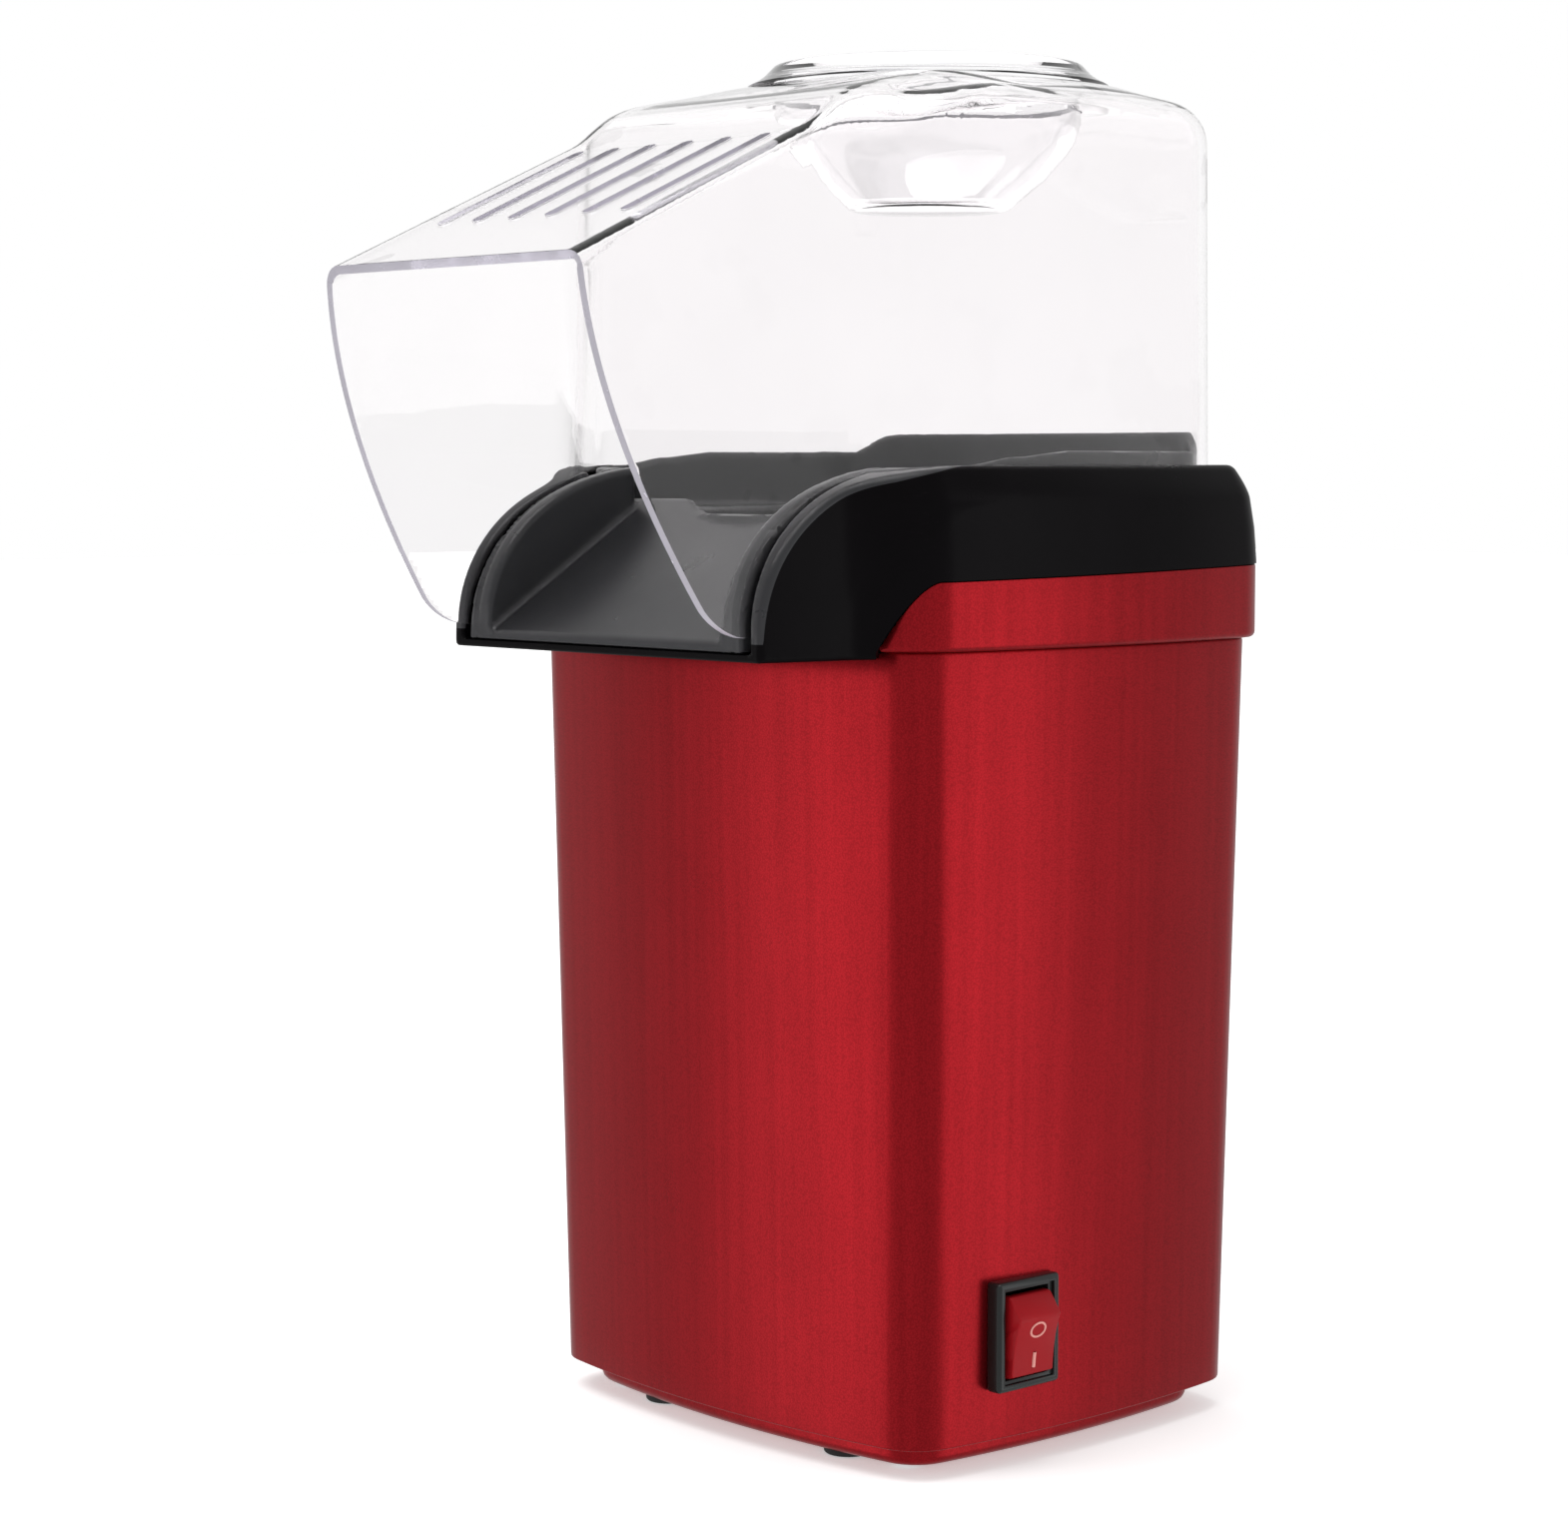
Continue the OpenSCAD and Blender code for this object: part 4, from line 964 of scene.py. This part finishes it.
def make_rocker(ym, zm):
    """Rocker tipped by its throw, with a hollowed face; the marks are laid in just proud of it."""
    pivot = Vector((59.2, ym, zm))
    tilt = math.radians(10)
    half_w = 5.8
    face = bezier((5.0, 4.7), (4.1, -1.2), (4.9, -7.2), 14).tolist()
    side = [(-0.6, 8.0), (0.9, 8.35), (1.5, 8.25), (4.4, 5.5), (4.85, 5.0)] + face
    side += [(4.6, -7.45), (3.0, -8.2), (1.6, -8.3), (-0.6, -7.9), (-3.6, -5.6), (-3.6, 5.6)]

    def tip(x, y, z):
        return (pivot.x + x * math.cos(tilt) + z * math.sin(tilt), pivot.y + y,
                pivot.z - x * math.sin(tilt) + z * math.cos(tilt))

    rings = []
    for y, shrink in ((-half_w, 0.35), (-half_w + 0.12, 0.12), (-half_w + 0.4, 0), (half_w - 0.4, 0),
                      (half_w - 0.12, 0.12), (half_w, 0.35)):
        middle = (0.4, 0.0)
        ring = []
        for x, z in side:
            span_to = math.hypot(x - middle[0], z - middle[1])
            k = 1 - shrink / span_to
            ring.append(tip(middle[0] + (x - middle[0]) * k, y, middle[1] + (z - middle[1]) * k))
        rings.append(ring)
    rocker = loft("rocker_cap", rings, cap_low=True, cap_high=True)
    pin = turned("rocker_pin", [(0.01, -6.7), (1.2, -6.7), (1.2, 6.7), (0.01, 6.7)], (0, 0), 32)
    pin.rotation_euler = (math.radians(90), 0, 0)
    pin.location = pivot * MM
    finish(rocker, ROCKER_RED, "red_rocker", "rocker", "switch_rocker")
    finish(pin, ROCKER_RED, "red_rocker", "rocker")

    def on_face(z):
        return float(np.interp(z, [p[1] for p in face[::-1]], [p[0] for p in face[::-1]]))

    circle = [tip(on_face(2.0 + 1.5 * math.sin(t)), 2.0 * math.cos(t), 2.0 + 1.5 * math.sin(t))
              for t in np.linspace(0, 2 * math.pi, 40, endpoint=False)]
    bar = [tip(on_face(z), 0, z) for z in np.linspace(-5.9, -2.8, 9)]
    for name, points, thick, loop in (("mark_off", circle, 0.24, True), ("mark_on", bar, 0.4, False)):
        finish(wire(name, points, thick, loop), SYMBOL, "red_rocker", "rocker")


# ---------- base ----------

def make_skirt():
    """Base tray: a low wall with a well rounded foot, air inlet slots and holes for its screws."""
    foot, top = base_low[2], base_high[2]
    foot_r = 2.2

    def ring(t, z):
        return bowed_ring(base_high[0] + t, base_high[1] + t, 10 + t, z)

    rings = [ring(-2, foot + 2.2), ring(-2, top), ring(-0.3, top), ring(0, top - 0.3)]
    for a in np.linspace(0, math.pi / 2, 8):
        rings.append(ring(foot_r * (math.cos(a) - 1), foot + foot_r * (1 - math.sin(a))))
    skirt = loft("base_skirt", rings, cap_low=True, cap_high=True)
    for i in range(-5, 6):
        y = 4.4 * i
        half = math.sqrt(25 ** 2 - y ** 2)
        cut(skirt, block("slot", [-half, y - 1.2, 0], [half, y + 1.2, 10], 1.1))
    for x in (-43, 43):
        for y in (-37, 37):
            cut(skirt, turned("hole", [(0.01, 0), (3.2, 0), (3.2, 10), (0.01, 10)], (x, y), 32))
    tidy_normals(skirt, 40)
    return finish(skirt, RED, "red_housing", "housing", "base_plate")


# ---------- heater windings, and softened copies of plain parts ----------

def make_winding(name, radius, low, rise, turns, node):
    """Coiled resistance wire laid in level turns, with a short climb from one turn to the next."""
    pitch, coil, gauge = 3.2, 1.65, 0.35
    per_loop = 9
    count = int(turns * 2 * math.pi * radius / pitch * per_loop)
    points = []
    for i in range(count + 1):
        u = turns * i / count
        climb = min(max((u % 1 - 0.9) / 0.1, 0), 1) if u < turns - 0.5 else 0
        level = min(int(u), turns - 1) + climb * climb * (3 - 2 * climb)
        around = 2 * math.pi * u + 1.2
        twist = 2 * math.pi * i / per_loop
        r = radius + coil * math.cos(twist)
        points.append((r * math.cos(around), r * math.sin(around),
                       low + rise * level + coil * math.sin(twist)))
    return finish(wire(name, points, gauge, False, 1), NICHROME, "nichrome", "housing", node)


def softened_copy(name, source, width):
    """A rubber piece with the shape of a CAD node and small radii on its edges."""
    node = nodes[source]
    mesh = node.data.copy()
    mesh.transform(node.matrix_world)
    bm = bmesh.new()
    bm.from_mesh(mesh)
    bmesh.ops.remove_doubles(bm, verts=bm.verts, dist=1e-6)
    bmesh.ops.dissolve_limit(bm, angle_limit=math.radians(1), verts=bm.verts, edges=bm.edges)
    bm.to_mesh(mesh)
    bm.free()
    obj = bpy.data.objects.new(name, mesh)
    bpy.context.collection.objects.link(obj)
    soften(obj, width, 40, 3)
    tidy_normals(obj, 40)
    return finish(obj, RUBBER, "rubber", "housing", source)


def main():
    make_body()
    make_collar()
    make_deck()
    make_liner()
    clear_pieces = [make_hood(), make_cup()]
    make_switch()
    make_winding("heater_winding", 41.0, 69.0, 6.0, 4, "heater_coil")
    make_winding("dropper_winding", 22.0, 72.0, 12.0, 2, "dropper_coil")
    make_skirt()
    softened_copy("foot_pads", "rubber_feet", 0.7)
    softened_copy("gland_sleeve", "cord_gland", 0.5)
    own = {
        "base_plate": RED, "rubber_feet": RUBBER, "cord_gland": RUBBER, "switch_rocker": ROCKER_RED,
        "switch_terminals": BRASS, "popping_chamber": ALUMINIUM, "air_duct": GALVANISED,
        "mica_board_x": MICA, "mica_board_y": MICA, "heater_coil": NICHROME, "dropper_coil": NICHROME,
        "thermostat": BAKELITE, "duct_bushing": CERAMIC, "fan_housing": BAKELITE,
        "fan_impeller": BAKELITE, "motor_can": GALVANISED, "motor_magnets": FERRITE,
        "motor_armature": COPPER, "motor_end_cap": BAKELITE, "motor_bearing": BRASS,
        "rectifier_board": BOARD, "diodes": BAKELITE, "noise_capacitor": OCHRE,
    }
    own.update(SLEEVES)
    for name, node in nodes.items():
        paint(node, own.get(name, STEEL))
    return clear_pieces


# ---------- camera, floor and light ----------

def aim(obj, place, target):
    obj.location = place
    obj.rotation_euler = (Vector(target) - Vector(place)).to_track_quat("-Z", "Y").to_euler()


def softbox(name, place, target, size, power):
    data = bpy.data.lights.new(name, "AREA")
    data.shape = "RECTANGLE"
    data.size, data.size_y = size
    data.energy = power
    lamp = bpy.data.objects.new(name, data)
    bpy.context.collection.objects.link(lamp)
    aim(lamp, place, target)
    return lamp


def studio(clear_pieces):
    camera_data = bpy.data.cameras.new("camera")
    camera_data.sensor_width = 36
    camera_data.lens = 82.6
    camera = bpy.data.objects.new("camera", camera_data)
    bpy.context.collection.objects.link(camera)
    camera.location = (0.5500, -0.5317, 0.2003)
    camera.rotation_euler = (math.radians(85.224), 0, math.radians(47.696))
    bpy.context.scene.camera = camera

    floor_mesh = bpy.data.meshes.new("floor")
    reach = 6
    corners = [(-reach, -reach, 0), (reach, -reach, 0), (reach, reach, 0), (-reach, reach, 0)]
    floor_mesh.from_pydata(corners, [], [(0, 1, 2, 3)])
    floor = bpy.data.objects.new("floor", floor_mesh)
    bpy.context.collection.objects.link(floor)
    pale = Shader("floor_pale")
    pale.link(pale.ramp(pale.noise(3, 2), [(0.3, (0.9, 0.9, 0.9)), (0.7, (0.92, 0.92, 0.92))]),
              pale.main.inputs["Base Color"])
    pale.set(Roughness=0.8, Emission_Strength=0.42)
    pale.main.inputs["Emission Color"].default_value = (1, 1, 1, 1)
    floor_mesh.materials.append(pale.mat)
    # the lacquer mirrors the strips and the room down to its foot, as over a white sweep
    floor.visible_glossy = False
    floor.visible_shadow = False

    light_studio(clear_pieces)


def light_studio(clear_pieces):
    """White seen directly or through the clear hood, a dimmer room in reflections.

    The strips give the lacquer its highlights; the clear pieces are spared their glare."""
    world = bpy.data.worlds.new("studio")
    world.use_nodes = True
    tree = world.node_tree
    room = tree.nodes["Background"]
    room.inputs["Color"].default_value = (1, 1, 1, 1)
    room.inputs["Strength"].default_value = 0.58
    sky = tree.nodes.new("ShaderNodeBackground")
    sky.inputs["Color"].default_value = (1, 1, 1, 1)
    sky.inputs["Strength"].default_value = 1.0
    path = tree.nodes.new("ShaderNodeLightPath")
    seen = tree.nodes.new("ShaderNodeMath")
    seen.operation = "MAXIMUM"
    tree.links.new(path.outputs["Is Camera Ray"], seen.inputs[0])
    tree.links.new(path.outputs["Is Transmission Ray"], seen.inputs[1])
    mirrored = tree.nodes.new("ShaderNodeMath")
    mirrored.operation = "MULTIPLY"
    mirrored.inputs[1].default_value = 0.8
    tree.links.new(path.outputs["Is Singular Ray"], mirrored.inputs[0])
    either_way = tree.nodes.new("ShaderNodeMath")
    either_way.operation = "MAXIMUM"
    tree.links.new(seen.outputs[0], either_way.inputs[0])
    tree.links.new(mirrored.outputs[0], either_way.inputs[1])
    mix = tree.nodes.new("ShaderNodeMixShader")
    tree.links.new(either_way.outputs[0], mix.inputs[0])
    tree.links.new(room.outputs[0], mix.inputs[1])
    tree.links.new(sky.outputs[0], mix.inputs[2])
    tree.links.new(mix.outputs[0], tree.nodes["World Output"].inputs["Surface"])
    bpy.context.scene.world = world
    bpy.context.scene.view_settings.view_transform = "Standard"

    height, away = 0.14, 1.3
    for name, heading in (("left_strip", -118), ("right_strip", 27)):
        turn = math.radians(heading)
        place = (away * math.cos(turn), away * math.sin(turn), height)
        strip = softbox(name, place, (0, 0, height), (0.6, 1.8), 3.5)
        spared = bpy.data.collections.new(name + "_spares")
        strip.light_linking.receiver_collection = spared
        for piece in clear_pieces:
            spared.objects.link(piece)
        for member in spared.collection_objects:
            member.light_linking.link_state = "EXCLUDE"
    sun = bpy.data.lights.new("overhead", "SUN")
    sun.energy = 1.6
    sun.angle = math.radians(50)
    lamp = bpy.data.objects.new("overhead", sun)
    bpy.context.collection.objects.link(lamp)
    lamp.rotation_euler = (math.radians(12), math.radians(-8), 0)


studio(main())

bpy.context.view_layer.update()
